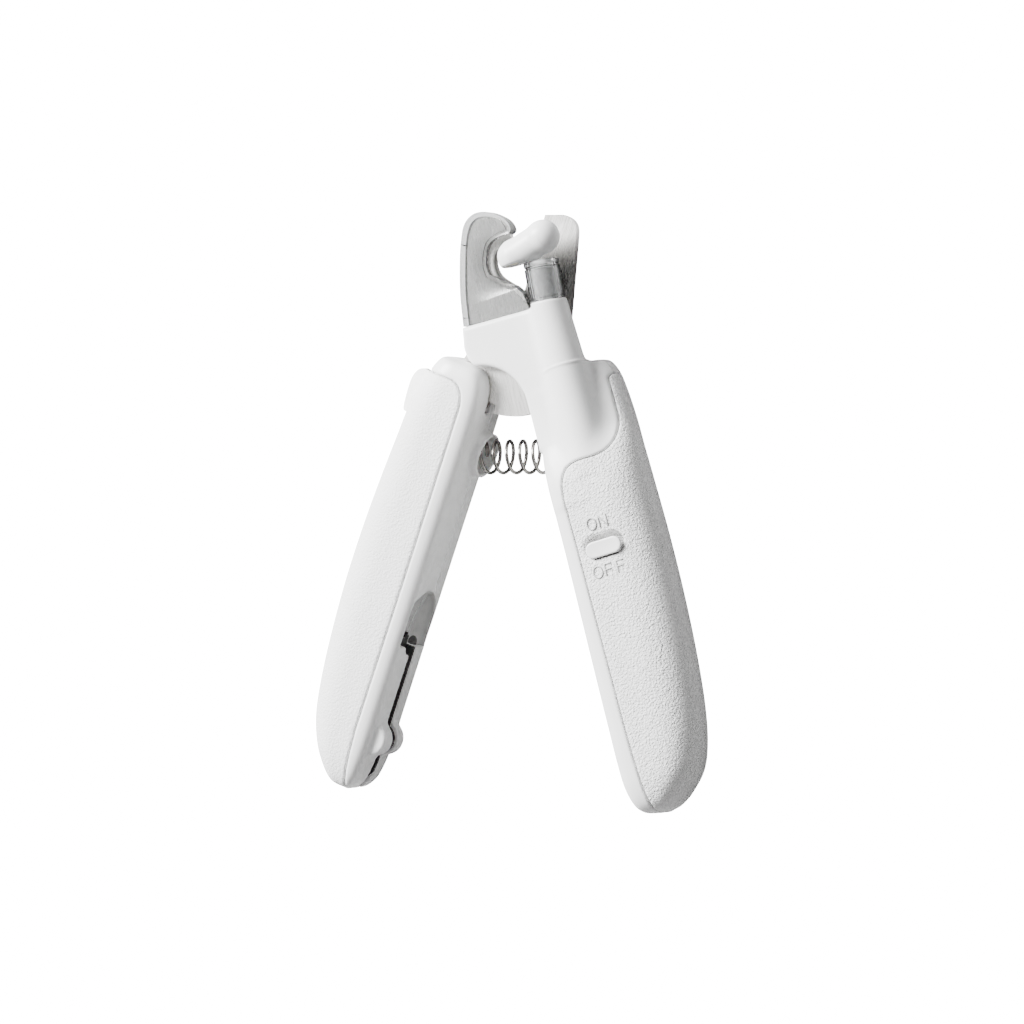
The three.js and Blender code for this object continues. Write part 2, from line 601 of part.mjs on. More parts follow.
const leverSlot = () => block(-32, -8.6, -30.6, -11.2, 9.95, 12.65);

function rearBladePlate(grow = 0) {
  const { back, front } = REAR_BLADE;
  const tang = [at(-17.6, -43.6), at(-7.4, -43.6), at(-4, -22), at(4, 0), at(-11, 0), at(-16, -16)];
  const parts = [rearJawOutline(), tang];
  const grown = parts.map((points) => slab(grow ? inset(points, -grow) : points,
    back - grow / 2, front + grow / 2));
  return join(...grown, post(0, 0, 12.3 + grow, back - grow / 2, front + grow / 2, 40));
}

function rightBlade() {
  const holes = LEFT_RIVETS.map(([x, y]) => post(x, y, 1.6, 6, 14, 16));
  return cut(rearBladePlate(), post(0, 0, PIVOT_RADIUS + 0.15, 6, 14), ...holes);
}

function filePocket() {
  const stored = block(-11.1, 12, -113.4, -83.8, SPLIT - SEAM - 0.1, FILE_SLOT_FRONT);
  const hub = post(FILE_PIN.x, FILE_PIN.y, 4.8, SPLIT - SEAM - 0.1, FILE_SLOT_FRONT, 28);
  const tail = block(-8.6, 12, -140, FILE_PIN.y, FILE_PLATE.back - 0.2, FILE_PLATE.front + 0.3);
  return join(stored, hub, tail);
}

function scoop() {
  const bowl = new THREE.SphereGeometry(1, 20, 14);
  bowl.scale(3.6, 13, 7);
  bowl.translate(-1.6, -84, 11.4);
  const tipHole = rod(new THREE.Vector3(-7.6, -86.2, 12),
    new THREE.Vector3(2, -86.2, 12), 2.9, 2.9, 20);
  return join(solid(bowl).intersect(block(-20, 10, -86.8, -60, 1, 17.6)), tipHole);
}

function leftForm() {
  const body = loft(LEFT_STATIONS, -1);
  const boss = rod(new THREE.Vector3(-6, SPRING_SEAT.y, SPRING_SEAT.z),
    new THREE.Vector3(1.4, SPRING_SEAT.y, SPRING_SEAT.z), 6, SPRING_SEAT.radius, 28);
  const ears = button(FILE_PIN.x, FILE_PIN.y, 4.7, 3.8, 16.6);
  return join(body, boss, ears);
}

// The well that each end of the spring sits in: side 1 for the left half, -1 for the right.
function springWell(side) {
  const [start, end, radius] = side > 0 ? [-3.4, 4, SPRING_SEAT.well] : [6, -4, 6.6];
  return rod(new THREE.Vector3(start, SPRING_SEAT.y, SPRING_SEAT.z),
    new THREE.Vector3(end, SPRING_SEAT.y, SPRING_SEAT.z), radius, radius, 24);
}

function leftFrontShell() {
  const grip = gripSkin(LEFT_STATIONS, -1, leftGripRegion(), FIT);
  return cut(leftForm().intersect(frontPart()), ...leftSlots(), grip,
    cavity(LEFT_STATIONS, -1, -78, -49.5), filePocket(), scoop(), springWell(1),
    post(LOCK_PIN.x, LOCK_PIN.y, LOCK_PIN.radius + 0.15, 5, 15.4, 16),
    post(FILE_PIN.x, FILE_PIN.y, FILE_PIN.radius + 0.15, 4, 15.4, 16),
    ...LEFT_SCREWS.map(screwHole), ...LEFT_RIVETS.map(([x, y]) => post(x, y, 1.7, 5, 12.4, 16)));
}

const leftGrip = () => cut(gripSkin(LEFT_STATIONS, -1, leftGripRegion()), leverSlot(),
  post(LOCK_PIN.x, LOCK_PIN.y, LOCK_PIN.radius + FIT, 5, 15.4, 16));

function leftBackShell() {
  return cut(leftForm().intersect(backPart()), rearBladePlate(FIT),
    gripSkin(LEFT_STATIONS, -1, leftGripRegion(), FIT),
    cavity(LEFT_STATIONS, -1, -78, -49.5), scoop(), springWell(1),
    post(LOCK_PIN.x, LOCK_PIN.y, LOCK_PIN.radius + 0.15, 4.6, 15.4, 16),
    post(FILE_PIN.x, FILE_PIN.y, FILE_PIN.radius + 0.15, 4.6, 15.4, 16),
    ...LEFT_SCREWS.map(screwHole), ...LEFT_RIVETS.map(([x, y]) => post(x, y, 1.7, 5.4, 12.4, 16)));
}

function leftHalf() {
  const lever = cut(slab(lockLeverOutline(), FRONT_BLADE.back, FRONT_BLADE.front),
    post(LOCK_PIN.x, LOCK_PIN.y, LOCK_PIN.radius + 0.15, 9, 14, 16));
  const lockPin = post(LOCK_PIN.x, LOCK_PIN.y, LOCK_PIN.radius, 5, 15, 16);
  const thumbTab = block(-6.8, -4.4, -87.5, -84.9, FILE_PLATE.front - 0.1, 13.6);
  const file = cut(join(slab(fileOutline(), FILE_PLATE.back, FILE_PLATE.front), thumbTab),
    post(FILE_PIN.x, FILE_PIN.y, FILE_PIN.radius + 0.15, 8, 12, 16));
  const filePin = post(FILE_PIN.x, FILE_PIN.y, FILE_PIN.radius, 5, 15, 16);
  const group = new THREE.Group();
  group.add(
    piece('left_front_shell', leftFrontShell(), WHITE),
    piece('left_back_shell', leftBackShell(), WHITE),
    piece('left_grip', leftGrip(), GRIP, 0.75),
    piece('right_blade', rightBlade(), STEEL, 0.25, 1),
    piece('lock_lever', lever, STEEL, 0.25, 1),
    piece('lock_pin', lockPin, STEEL, 0.3, 1),
    piece('nail_file', file, STEEL, 0.45, 1),
    piece('file_pin', filePin, STEEL, 0.3, 1),
    ...fasteners('left', LEFT_SCREWS, LEFT_RIVETS, [5.8, 9.7]),
  );
  group.rotation.z = LEFT_TURN;
  return group;
}

// ---------------------------------------------------------------- spring between the halves
class Coil extends THREE.Curve {
  getPoint(t) {
    const x = SPRING.left + (SPRING.right - SPRING.left) * t;
    const angle = (2 * Math.PI * (x - SPRING.front)) / SPRING.pitch;
    return new THREE.Vector3(x, SPRING.y - SPRING.radius * Math.sin(angle),
      SPRING.z + SPRING.radius * Math.cos(angle));
  }
}

function coilSpring() {
  const ring = new THREE.Shape();
  ring.absarc(0, 0, SPRING.wire, 0, 2 * Math.PI, false);
  const steps = Math.round(((SPRING.right - SPRING.left) / SPRING.pitch) * 11);
  const wire = new THREE.ExtrudeGeometry(ring, { steps, extrudePath: new Coil(),
    curveSegments: 3, bevelEnabled: false });
  return piece('coil_spring', solid(wire), STEEL, 0.25, 1);
}

// ---------------------------------------------------------------- the whole clipper
const clipper = new THREE.Group();
clipper.add(rightHalf(), leftHalf(), coilSpring());

export default clipper;
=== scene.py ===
import json
import math

import bmesh
import bpy
import numpy as np
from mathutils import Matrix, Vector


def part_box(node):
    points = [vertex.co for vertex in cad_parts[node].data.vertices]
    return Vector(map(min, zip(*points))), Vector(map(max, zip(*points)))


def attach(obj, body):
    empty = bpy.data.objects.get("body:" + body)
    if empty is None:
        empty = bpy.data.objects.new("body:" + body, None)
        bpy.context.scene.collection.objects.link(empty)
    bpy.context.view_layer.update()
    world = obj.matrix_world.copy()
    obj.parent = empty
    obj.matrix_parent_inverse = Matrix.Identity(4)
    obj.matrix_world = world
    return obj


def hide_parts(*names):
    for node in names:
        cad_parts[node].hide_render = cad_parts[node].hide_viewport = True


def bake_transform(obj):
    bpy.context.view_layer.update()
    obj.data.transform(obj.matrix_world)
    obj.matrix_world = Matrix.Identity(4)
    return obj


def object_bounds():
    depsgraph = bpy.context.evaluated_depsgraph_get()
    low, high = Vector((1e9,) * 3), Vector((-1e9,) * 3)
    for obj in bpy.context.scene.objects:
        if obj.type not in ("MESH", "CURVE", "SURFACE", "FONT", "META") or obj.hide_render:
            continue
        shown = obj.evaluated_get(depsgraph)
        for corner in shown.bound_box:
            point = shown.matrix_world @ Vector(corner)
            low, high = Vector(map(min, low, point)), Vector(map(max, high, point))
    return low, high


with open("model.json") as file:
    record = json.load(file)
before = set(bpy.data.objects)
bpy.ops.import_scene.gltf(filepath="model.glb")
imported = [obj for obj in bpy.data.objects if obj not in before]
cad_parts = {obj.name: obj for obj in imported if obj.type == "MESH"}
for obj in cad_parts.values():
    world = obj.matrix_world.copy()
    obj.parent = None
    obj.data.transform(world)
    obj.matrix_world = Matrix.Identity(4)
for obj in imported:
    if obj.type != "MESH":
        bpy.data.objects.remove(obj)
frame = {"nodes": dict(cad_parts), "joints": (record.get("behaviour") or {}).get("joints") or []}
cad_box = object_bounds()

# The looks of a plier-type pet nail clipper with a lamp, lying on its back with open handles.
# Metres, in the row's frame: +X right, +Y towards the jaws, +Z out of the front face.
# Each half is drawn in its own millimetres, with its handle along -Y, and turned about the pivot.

import openvdb
from mathutils import Matrix, Vector

MM = 0.001
FINE = 0.3  # spacing of the points that a form is sculpted on, in millimetres
STEP = FINE


# ---------------------------------------- places taken from the frame
def centre(node):
    low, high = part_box(node)
    return (low + high) / 2


joints = {joint["name"]: joint for joint in frame["joints"]}
slide_axis = joints["catcher_slide"]["axis"]
RIGHT_TURN = math.atan2(-slide_axis[0], slide_axis[1])
up_the_handle = centre("left_screw_2") - centre("left_screw_3")
LEFT_TURN = math.atan2(-up_the_handle.x, up_the_handle.y)
RIGHT = Matrix.Rotation(RIGHT_TURN, 4, "Z") @ Matrix.Scale(MM, 4)
LEFT = Matrix.Rotation(LEFT_TURN, 4, "Z") @ Matrix.Scale(MM, 4)
ROW = Matrix.Scale(MM, 4)


def layer(node):
    """Back and front height of a node, in millimetres."""
    low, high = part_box(node)
    return low.z / MM, high.z / MM


def local(node, place):
    """Middle of a node in a half's own millimetres."""
    return place.inverted() @ centre(node)


REAR_BLADE = layer("right_blade")
FRONT_BLADE = layer("left_blade")
SPLIT = layer("right_back_shell")[1] + 0.05
LEVER_PLATE = layer("lock_lever")
FILE_BACK, FILE_TAB_FRONT = layer("nail_file")
LOCK_PIN = local("lock_pin", LEFT)
FILE_PIN = local("file_pin", LEFT)
KNOB = local("switch_knob", RIGHT)
COIL_LOW, COIL_HIGH = [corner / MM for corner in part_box("coil_spring")]


# ---------------------------------------- driving dimensions
SEAM = 0.12  # half of a parting line's width
SKIN = 1.2  # thickness of the grip panels
GRIP_BACK = 6  # the grips wrap round each handle's outer side to here
HEAD_BACK = 10.35
HEAD_FRONT = 16.2
SECTOR_RADIUS = 19.2
GUARD_ANGLES = (-141, -60)  # the front blade's guard sector, in degrees
NOTCH_ANGLES = (-134.3, -123.9)  # the gap in the guard that the lock lever's tooth drops into
NOTCH_RADIUS = 16.9
HUB_CLEAR = 14.2  # radius of the room in the right shells for the rear blade's hub
COVE = (-12.56, -16.46, 13.5)  # centre and radius of the head's round cut
FRONT_TANG = [(3, -41), (17, -41), (16.6, -13), (10, 0), (-4, 0), (3, -12)]
REAR_TANG = [(-17.6, -43.6), (-7.4, -43.6), (-4, -22), (4, 0), (-11, 0), (-16, -16)]
NAIL_HOLE = (6.2, 21.3)  # centre of the ground hollow round the front blade's edge

LAMP_FOOT = Vector((14.9, 7.5, 17))
LAMP_TOP = Vector((16, 18.7, 17.4))
LAMP_BALL = Vector((19.2, 24.1, 19.4))
LAMP_NOSE = Vector((9.4, 21.6, 18.6))
TUBE_ROOT = Vector((13.4, -38, 12.6))
TUBE_RADIUS = 6.3
LAMP_RADIUS = 4.8
LAMP_LENGTH = 11
BALL_RADIUS = 4.5
NOSE_RADIUS = 4.5
MOUTH_Y = 19.3
LED_X = 9

SWITCH = (13.5, -59.5)
SWITCH_LENGTH = 10.4
SWITCH_WIDTH = 4.4
SWITCH_FRONT = 21
SWITCH_TRAVEL = 1.4
SWITCH_WELL = 16.75  # height of the floor that the switch slides over
SCREW_HEAD = (2.4, 0.8, 2.8)  # radius, back and front
SCREW_HOLE = (2.7, 2.6)  # radius and depth
DOOR_LENGTH = 33.4
DOOR_WIDTH = 13.8
DOOR_GAP = 0.3
PIN_HOLE = 1.25  # radius

SCOOP = (-1.6, -84, 11.4)  # middle of the hollow above the file
SCOOP_SIZES = (3.6, 13, 9)
SCOOP_END = -86.8
SCOOP_FRONT = 17.6
THUMB_RADIUS = 2.9
SLOT_TOP = -83.8
SLOT_END = -113.4
SLOT_WALLS = [  # the file's slot: each wall's outward direction and its distance along it
    ((1, 0, 0), -1.7), ((0.826, -0.563, 0), 67.6), ((0, 1, 0), SLOT_TOP),
    ((0, 0, 1), 11.3), ((0, 0, -1), -8),
]
SPRING_SEAT = Vector((0, -31.2, 8))
SPRING_WELL = 5.3
RIGHT_WELL = 6.6
SPRING_PITCH = 3.86
SPRING_FRONT = -9.67  # where along X the wire is at the front of a turn

# Handle sections from the top down: place along Y, then limits in X and in Z.
RIGHT_STATIONS = [
    (-9.9, 6.5, 20.6, 2.6, 11.7), (-11, 4, 23, 0.9, 13.2), (-14.5, 1.6, 24.7, 0, 13.7),
    (-20, 1, 25.6, 0, 14), (-28, 1, 26.2, 0, 15), (-36, 1, 26.6, 0, 18.4),
    (-44, 0.9, 26.9, 0, 20), (-60, 0.7, 27.1, 0, 20), (-76, 0.4, 26.8, 0, 20),
    (-92, 0.1, 25.9, 0, 20), (-106, -0.1, 24.4, 0, 20), (-116, -0.2, 22.3, 0, 20),
    (-123, 0.1, 19.3, 0.2, 19.7), (-128, 1.3, 14.4, 1.2, 18.4), (-130.5, 3.2, 10.8, 3.4, 16),
    (-131.6, 5.6, 9, 6.6, 12.4),
]
LEFT_STATIONS = [
    (-8.5, -15.8, -7.6, 4, 16.4), (-9.3, -17.8, -5, 1.6, 18.7), (-11.6, -19.4, -3, 0.4, 19.7),
    (-16, -21, -1.7, 0, 20), (-24, -23.2, -1.3, 0, 20), (-34, -24, -1.3, 0, 20),
    (-46, -24.8, -1.3, 0, 20), (-60, -25.4, -1.3, 0, 20), (-76, -25.4, -1.3, 0, 20),
    (-92, -24.5, -1.3, 0, 20), (-104, -23.2, -1.3, 0, 20), (-113, -21.4, -1.3, 0, 20),
    (-120, -18.4, -1.6, 0.2, 19.8), (-125, -14.8, -2.4, 1.2, 18.8), (-128, -11.6, -4, 3, 17),
    (-129.4, -8.8, -5.4, 6.5, 13.5),
]
BRIDGE = [  # fills the inner side of the right handle's top, under the lamp's tube
    (-15, 1.8, 13, 0.6, 15.4), (-22, 1.6, 14.6, 0.6, 16.2), (-30, 1.6, 16, 0.6, 17.4),
    (-38, 1.8, 17, 0.6, 18.9), (-46, 2.6, 17, 0.6, 19.2),
]
BOXY = 5.5  # squareness of a section's inner quarters: 2 is round
ROUND = 2.5
ROUND_BACK = 3.2


# ---------------------------------------- outlines
class Pen:
    """A closed outline drawn with lines, bends, arcs and smooth curves."""

    def __init__(self, x, y):
        self.points = [(x, y)]

    def line(self, *through):
        self.points += through
        return self

    def bend(self, turn, end, steps=12):
        start = self.points[-1]
        for i in range(1, steps + 1):
            t = i / steps
            self.points.append(tuple(
                (1 - t) ** 2 * a + 2 * t * (1 - t) * b + t * t * c
                for a, b, c in zip(start, turn, end)))
        return self

    def arc(self, x, y, radius, start, end, steps=32):
        for i in range(steps + 1):
            angle = math.radians(start + (end - start) * i / steps)
            self.points.append((x + radius * math.cos(angle), y + radius * math.sin(angle)))
        return self

    def smooth(self, *through, steps=8):
        """A curve from the last point through the ones given."""
        row = between([self.points[-1], *through], steps * len(through) + 1)
        self.points += [tuple(p) for p in row[1:]]
        return self

    def close(self):
        """The points, without any that repeat their neighbour, anticlockwise."""
        ends = self.points[1:] + self.points[:1]
        kept = [p for p, q in zip(self.points, ends) if math.dist(p, q) > 1e-3]
        area = sum(p[0] * q[1] - q[0] * p[1] for p, q in zip(kept, kept[1:] + kept[:1]))
        return kept if area > 0 else kept[::-1]


def between(stations, count):
    """A row of values on a smooth curve through the stations."""
    table = np.array(stations, float)
    last = len(table) - 1
    place = np.linspace(0, last, count)
    n = np.minimum(place.astype(int), last - 1)
    u = (place - n)[:, None]
    a, b, c, d = (table[np.clip(n + k, 0, last)] for k in (-1, 0, 1, 2))
    bend = (2 * a - 5 * b + 4 * c - d) * u ** 2 + (3 * b - a - 3 * c + d) * u ** 3
    return b + 0.5 * ((c - a) * u + bend)


def head_outline():
    x, y, radius = COVE
    pen = Pen(-11.8, 8.2).line((-12.8, 3)).bend((-12.9, -2.3), (-9.75, -3.26))
    pen.arc(x, y, radius, 78, 0).line((1, -30), (16, -30), (15.6, 7))
    return pen.close()


def right_grip_region():
    pen = Pen(5.8, -46).bend((5.9, -38), (9.4, -36.5)).bend((11.4, -35.7), (15.4, -35.9))
    pen.bend((23.6, -36.2), (23.9, -27)).line((23.4, -16.6)).bend((23.4, -15), (25.6, -15))
    pen.line((34, -15), (34, -140), (7.4, -140)).bend((5.9, -122), (5.8, -104))
    return pen.close()


def left_grip_region():
    pen = Pen(-6.1, -21).bend((-6.4, -14.8), (-10.6, -13.9)).line((-32, -13.9), (-32, -140))
    pen.line((-4.2, -140)).bend((-5.6, -124), (-6.1, -112))
    return pen.close()


def front_jaw_outline():
    pen = Pen(-10.7, 0).line((9.6, 0), (7.4, 9), (6.6, 13))
    pen.smooth((4.2, 15.8), (1.6, 18.8), (0.9, 21.8), (1.7, 24.8), (4, 26.5), (7.2, 27.5))
    pen.line((7.4, 31)).smooth((5, 34), (1, 35.4), (-2.4, 34.2), (-4.8, 30.5), (-6.9, 24.4),
                               (-8.9, 16.8), (-10.3, 9.2))
    return pen.close()


def catcher_outline():
    pen = Pen(-11.9, 8.6).line((7.9, 7.6), (7.3, 12), (5.3, 14.9), (-0.6, 19.7))
    pen.smooth((-1, 21), (-0.7, 23.6), (1.1, 27.3), (4, 28.7), (7.6, 28.7))
    pen.smooth((8.6, 29.6), (8.2, 31.8), (6.4, 34), (3, 36.3), (-0.8, 36.8), (-4.1, 34.9),
               (-6.4, 30.5), (-8.5, 24.4), (-10.5, 16.8), (-11.9, 8.6))
    return pen.close()


def catcher_hollow():
    pen = Pen(-10.6, 6).line((9, 6), (6.4, 10.6), (4.2, 14.2), (-1.9, 19.2))
    pen.smooth((-2.3, 21), (-1.9, 24.2), (0.4, 28.4), (4, 29.9), (6.9, 30.1))
    pen.smooth((6.6, 31.6), (5.4, 33.4), (2.6, 35.1), (-0.6, 35.5), (-3, 34),
               (-5.2, 30.1), (-7.2, 24), (-9.2, 16.6), (-10.6, 8))
    return pen.close()


def rear_jaw_outline():
    pen = Pen(-11, 0).line((12, 0), (12.2, 11), (7.4, 30))
    pen.smooth((6.2, 34.2), (5, 36.1), (3, 37), (0.7, 37.1))
    pen.line((-4, 35.5), (-2.8, 14)).bend((-2.4, 9), (-9, 6))
    return pen.close()


def pie(radius, start, end):
    return Pen(0, 0).arc(0, 0, radius, start, end, 64).close()


def round_outline(x, y, radius, steps=64):
    return Pen(x + radius, y).arc(x, y, radius, 0, 360, steps).close()


def pill(x, y, length, width, upright=False):
    reach = (length - width) / 2
    points = Pen(reach, -width / 2).arc(reach, 0, width / 2, -90, 90, 20)
    points = points.arc(-reach, 0, width / 2, 90, 270, 20).close()
    return [(x - v, y + u) if upright else (x + u, y + v) for u, v in points]


def lock_lever_outline():
    pen = Pen(-17.4, -11.5).smooth((-18.8, -12), (-19.2, -13.2), (-20.3, -14.8), (-22.6, -14.4),
                                   (-24.6, -15.8), (-25.5, -19.2), (-25.1, -26.2), (-23.8, -27.2))
    pen.smooth((-21.6, -25.2), (-18.6, -20.6), (-15.7, -19))
    pen.line((-12.7, -20.6), (-11.5, -18.8), (-10.5, -16.8), (-11.5, -16.1), (-13.1, -17.7))
    pen.line((-13.9, -17.1), (-15.5, -13.5))
    return pen.smooth((-15.8, -12.3), (-17.4, -11.5)).close()


def file_outline():
    pen = Pen(1.1, SLOT_END).arc(FILE_PIN.x, FILE_PIN.y, 3.9, 0, -165)
    pen.line((-9.6, -110), (-10.4, -107), (-10.4, -88)).bend((-10, -84.6), (-6, -84.4))
    return pen.line((-4.4, -84.6), (-4.2, -106), (-2.5, -109.4)).close()


# ---------------------------------------- sculpted forms
def blend(a, b, soft):
    """Two forms as one, with a fillet where they meet."""
    overlap = np.maximum(soft - np.abs(a - b), 0) / soft
    return np.minimum(a, b) - overlap * overlap * soft / 4


def common(a, b, soft=0.3):
    return -blend(-a, -b, soft)


def carve(body, *tools, soft=0.3):
    for tool in tools:
        body = common(body, -tool, soft)
    return body


class Clay:
    """Distances to a form's surface, negative inside, on a block of points in millimetres."""

    def __init__(self, low, high, step=STEP):
        self.low, self.step = low, step
        axes = [np.arange(a, b + step, step, dtype=np.float32) for a, b in zip(low, high)]
        self.x, self.y, self.z = np.meshgrid(*axes, indexing="ij", sparse=True)
        self.shape = tuple(len(axis) for axis in axes)

    def handle(self, stations, outer_side, end_soft=1.5):
        rows = between(stations, 1200)[::-1]
        x0, x1, z0, z1 = (np.interp(self.y.ravel(), rows[:, 0], rows[:, k]).astype(np.float32)
                          .reshape(1, -1, 1) for k in (1, 2, 3, 4))
        across = (self.x - (x0 + x1) / 2) / ((x1 - x0) / 2)
        up = (self.z - (z0 + z1) / 2) / ((z1 - z0) / 2)
        outer = np.where(up > 0, ROUND, ROUND_BACK)
        power = np.where(across * outer_side > 0, outer, BOXY).astype(np.float32)
        reach = (np.abs(across) ** power + np.abs(up) ** power) ** (1 / power) - 1
        steep = np.sqrt(sum(g * g for g in np.gradient(reach, self.step)))
        body = np.clip(reach / np.maximum(steep, 0.02), -9, 9)
        ends = np.maximum(self.y - stations[0][0], stations[-1][0] - self.y)
        return common(body, ends, end_soft)

    def prism(self, outline):
        """Distance to an outline in X and Y."""
        x, y = self.x[:, :, 0], self.y[:, :, 0]
        nearest = np.full(self.shape[:2], 1e6, np.float32)
        inside = np.zeros(self.shape[:2], bool)
        for (x0, y0), (x1, y1) in zip(outline, outline[1:] + outline[:1]):
            dx, dy = x1 - x0, y1 - y0
            t = np.clip(((x - x0) * dx + (y - y0) * dy) / (dx * dx + dy * dy), 0, 1)
            nearest = np.minimum(nearest, (x - x0 - t * dx) ** 2 + (y - y0 - t * dy) ** 2)
            if y0 != y1:
                crosses = ((y0 > y) != (y1 > y)) & (x < x0 + (y - y0) * dx / dy)
                inside = inside ^ crosses
        distance = np.sqrt(nearest)
        return np.where(inside, -distance, distance)[:, :, None]

    def slab(self, outline, back, front, rim=0.3):
        """An outline between two heights, with rounded rims."""
        side = self.prism(outline) + rim
        face = np.abs(self.z - (back + front) / 2) - (front - back) / 2 + rim
        outside = np.sqrt(np.maximum(side, 0) ** 2 + np.maximum(face, 0) ** 2)
        return outside + np.minimum(np.maximum(side, face), 0) - rim

    def box(self, low, high):
        sides = [np.maximum(a - v, v - b) for v, a, b in zip((self.x, self.y, self.z), low, high)]
        return np.maximum(np.maximum(sides[0], sides[1]), sides[2])

    def ball(self, middle, radius, squash=(1, 1, 1)):
        offsets = [(v - c) / s for v, c, s in zip((self.x, self.y, self.z), middle, squash)]
        return (np.sqrt(sum(o * o for o in offsets)) - radius) * min(squash)

    def rod(self, start, end, radius, end_radius=None):
        """A round bar or cone with flat ends."""
        end_radius = radius if end_radius is None else end_radius
        length = (end - start).length
        way = (end - start) / length
        offsets = [v - c for v, c in zip((self.x, self.y, self.z), start)]
        along = sum(o * w for o, w in zip(offsets, way))
        away = np.sqrt(np.maximum(sum(o * o for o in offsets) - along * along, 0))
        t = np.clip(along / length, 0, 1)
        side = away - (radius + (end_radius - radius) * t)
        return np.maximum(side, np.maximum(-along, along - length))

    def piece(self, name, form, place):
        """A mesh of the form's surface, in the row's frame."""
        values = np.array(np.broadcast_to(form, self.shape), dtype=np.float32)
        for axis in range(3):
            for side in (0, -1):
                edge = [slice(None)] * 3
                edge[axis] = side
                values[tuple(edge)] = self.step
        grid = openvdb.FloatGrid(10 * self.step)
        grid.copyFromArray(values)
        points, quads = grid.convertToQuads(0)
        corners = points * self.step + np.array(self.low)
        mesh = bpy.data.meshes.new(name)
        mesh.from_pydata([place @ Vector(c) for c in corners.tolist()], [], quads.tolist())
        shape = bmesh.new()
        shape.from_mesh(mesh)
        return made(shape, mesh)


def made(shape, mesh, place=None, smooth_angle=None):
    """An object of the mesh that a bmesh is written to, with its faces outwards."""
    bmesh.ops.recalc_face_normals(shape, faces=shape.faces)
    if place:
        shape.transform(place)
    shape.to_mesh(mesh)
    shape.free()
    return shown(mesh.name, mesh, smooth_angle)


def shown(name, mesh, smooth_angle=None):
    """An object for a mesh, smooth all over or up to an angle between faces."""
    mesh.update()
    mesh.shade_smooth()
    if smooth_angle:
        mesh.set_sharp_from_angle(angle=math.radians(smooth_angle))
    piece = bpy.data.objects.new(name, mesh)
    bpy.context.scene.collection.objects.link(piece)
    return piece


# ---------------------------------------- plates, turned pieces, tubes
def settled(piece):
    """The piece with its modifiers worked into its mesh."""
    graph = bpy.context.evaluated_depsgraph_get()
    mesh = bpy.data.meshes.new_from_object(piece.evaluated_get(graph))
    piece.modifiers.clear()
    piece.data = mesh
    return piece


def boolean(piece, tools, operation):
    for tool in tools:
        change = piece.modifiers.new("change", "BOOLEAN")
        change.operation = operation
        change.solver = "EXACT"
        change.object = tool
    bpy.context.view_layer.update()
    settled(piece)
    for tool in tools:
        bpy.data.objects.remove(tool)
    return piece


def sheet(name, outlines, back, front, place):
    """A flat plate. Outlines after the first are holes."""
    curve = bpy.data.curves.new(name, "CURVE")
    curve.dimensions = "2D"
    curve.fill_mode = "BOTH"
    curve.extrude = (front - back) / 2
    for outline in outlines:
        spline = curve.splines.new("POLY")
        spline.points.add(len(outline) - 1)
        for point, (x, y) in zip(spline.points, outline):
            point.co = (x, y, 0, 1)
        spline.use_cyclic_u = True
    flat = bpy.data.objects.new(name + "_curve", curve)
    bpy.context.scene.collection.objects.link(flat)
    graph = bpy.context.evaluated_depsgraph_get()
    mesh = bpy.data.meshes.new_from_object(flat.evaluated_get(graph))
    bpy.data.objects.remove(flat)
    shape = bmesh.new()
    shape.from_mesh(mesh)
    bmesh.ops.remove_doubles(shape, verts=shape.verts, dist=1e-4)
    bmesh.ops.dissolve_limit(shape, angle_limit=1e-4, verts=shape.verts, edges=shape.edges)
    return made(shape, mesh, place @ Matrix.Translation((0, 0, (back + front) / 2)), 30)


def joined_plates(name, heights, place, *outlines):
    """One plate from several overlapping outlines."""
    plates = [sheet(f"{name}_{i}", [outline], *heights, place)
              for i, outline in enumerate(outlines)]
    piece = boolean(plates[0], plates[1:], "UNION")
    piece.name = name
    return piece


def bevelled(piece, width, segments=3, angle=50):
    """Rounds the piece's sharp edges. The width is in millimetres."""
    piece.modifiers.new("tidy", "WELD").merge_threshold = 0.06 * MM
    bevel = piece.modifiers.new("rounding", "BEVEL")
    bevel.width = width * MM
    bevel.segments = segments
    bevel.angle_limit = math.radians(angle)
    bevel.harden_normals = True
    bpy.context.view_layer.update()
    return settled(piece)


def turned(name, profile, start, end, place, sides=64):
    """A turned piece: the profile gives radius and height along its axis."""
    way = (end - start).normalized()
    turn = Vector((0, 0, 1)).rotation_difference(way).to_matrix().to_4x4()
    shape = bmesh.new()
    rings = []
    for radius, height in profile:
        count = 1 if radius < 1e-6 else sides
        rings.append([shape.verts.new((radius * math.cos(2 * math.pi * i / sides),
                                       radius * math.sin(2 * math.pi * i / sides), height))
                      for i in range(count)])
    for low, high in zip(rings, rings[1:]):
        for i in range(sides):
            j = (i + 1) % sides
            around = ((low, i), (low, j), (high, j), (high, i))
            corners = [ring[k % len(ring)] for ring, k in around]
            unique = list(dict.fromkeys(corners))
            if len(unique) > 2:
                shape.faces.new(unique)
    bmesh.ops.remove_doubles(shape, verts=shape.verts, dist=1e-5)
    where = place @ Matrix.Translation(start) @ turn
    return made(shape, bpy.data.meshes.new(name), where, 35)


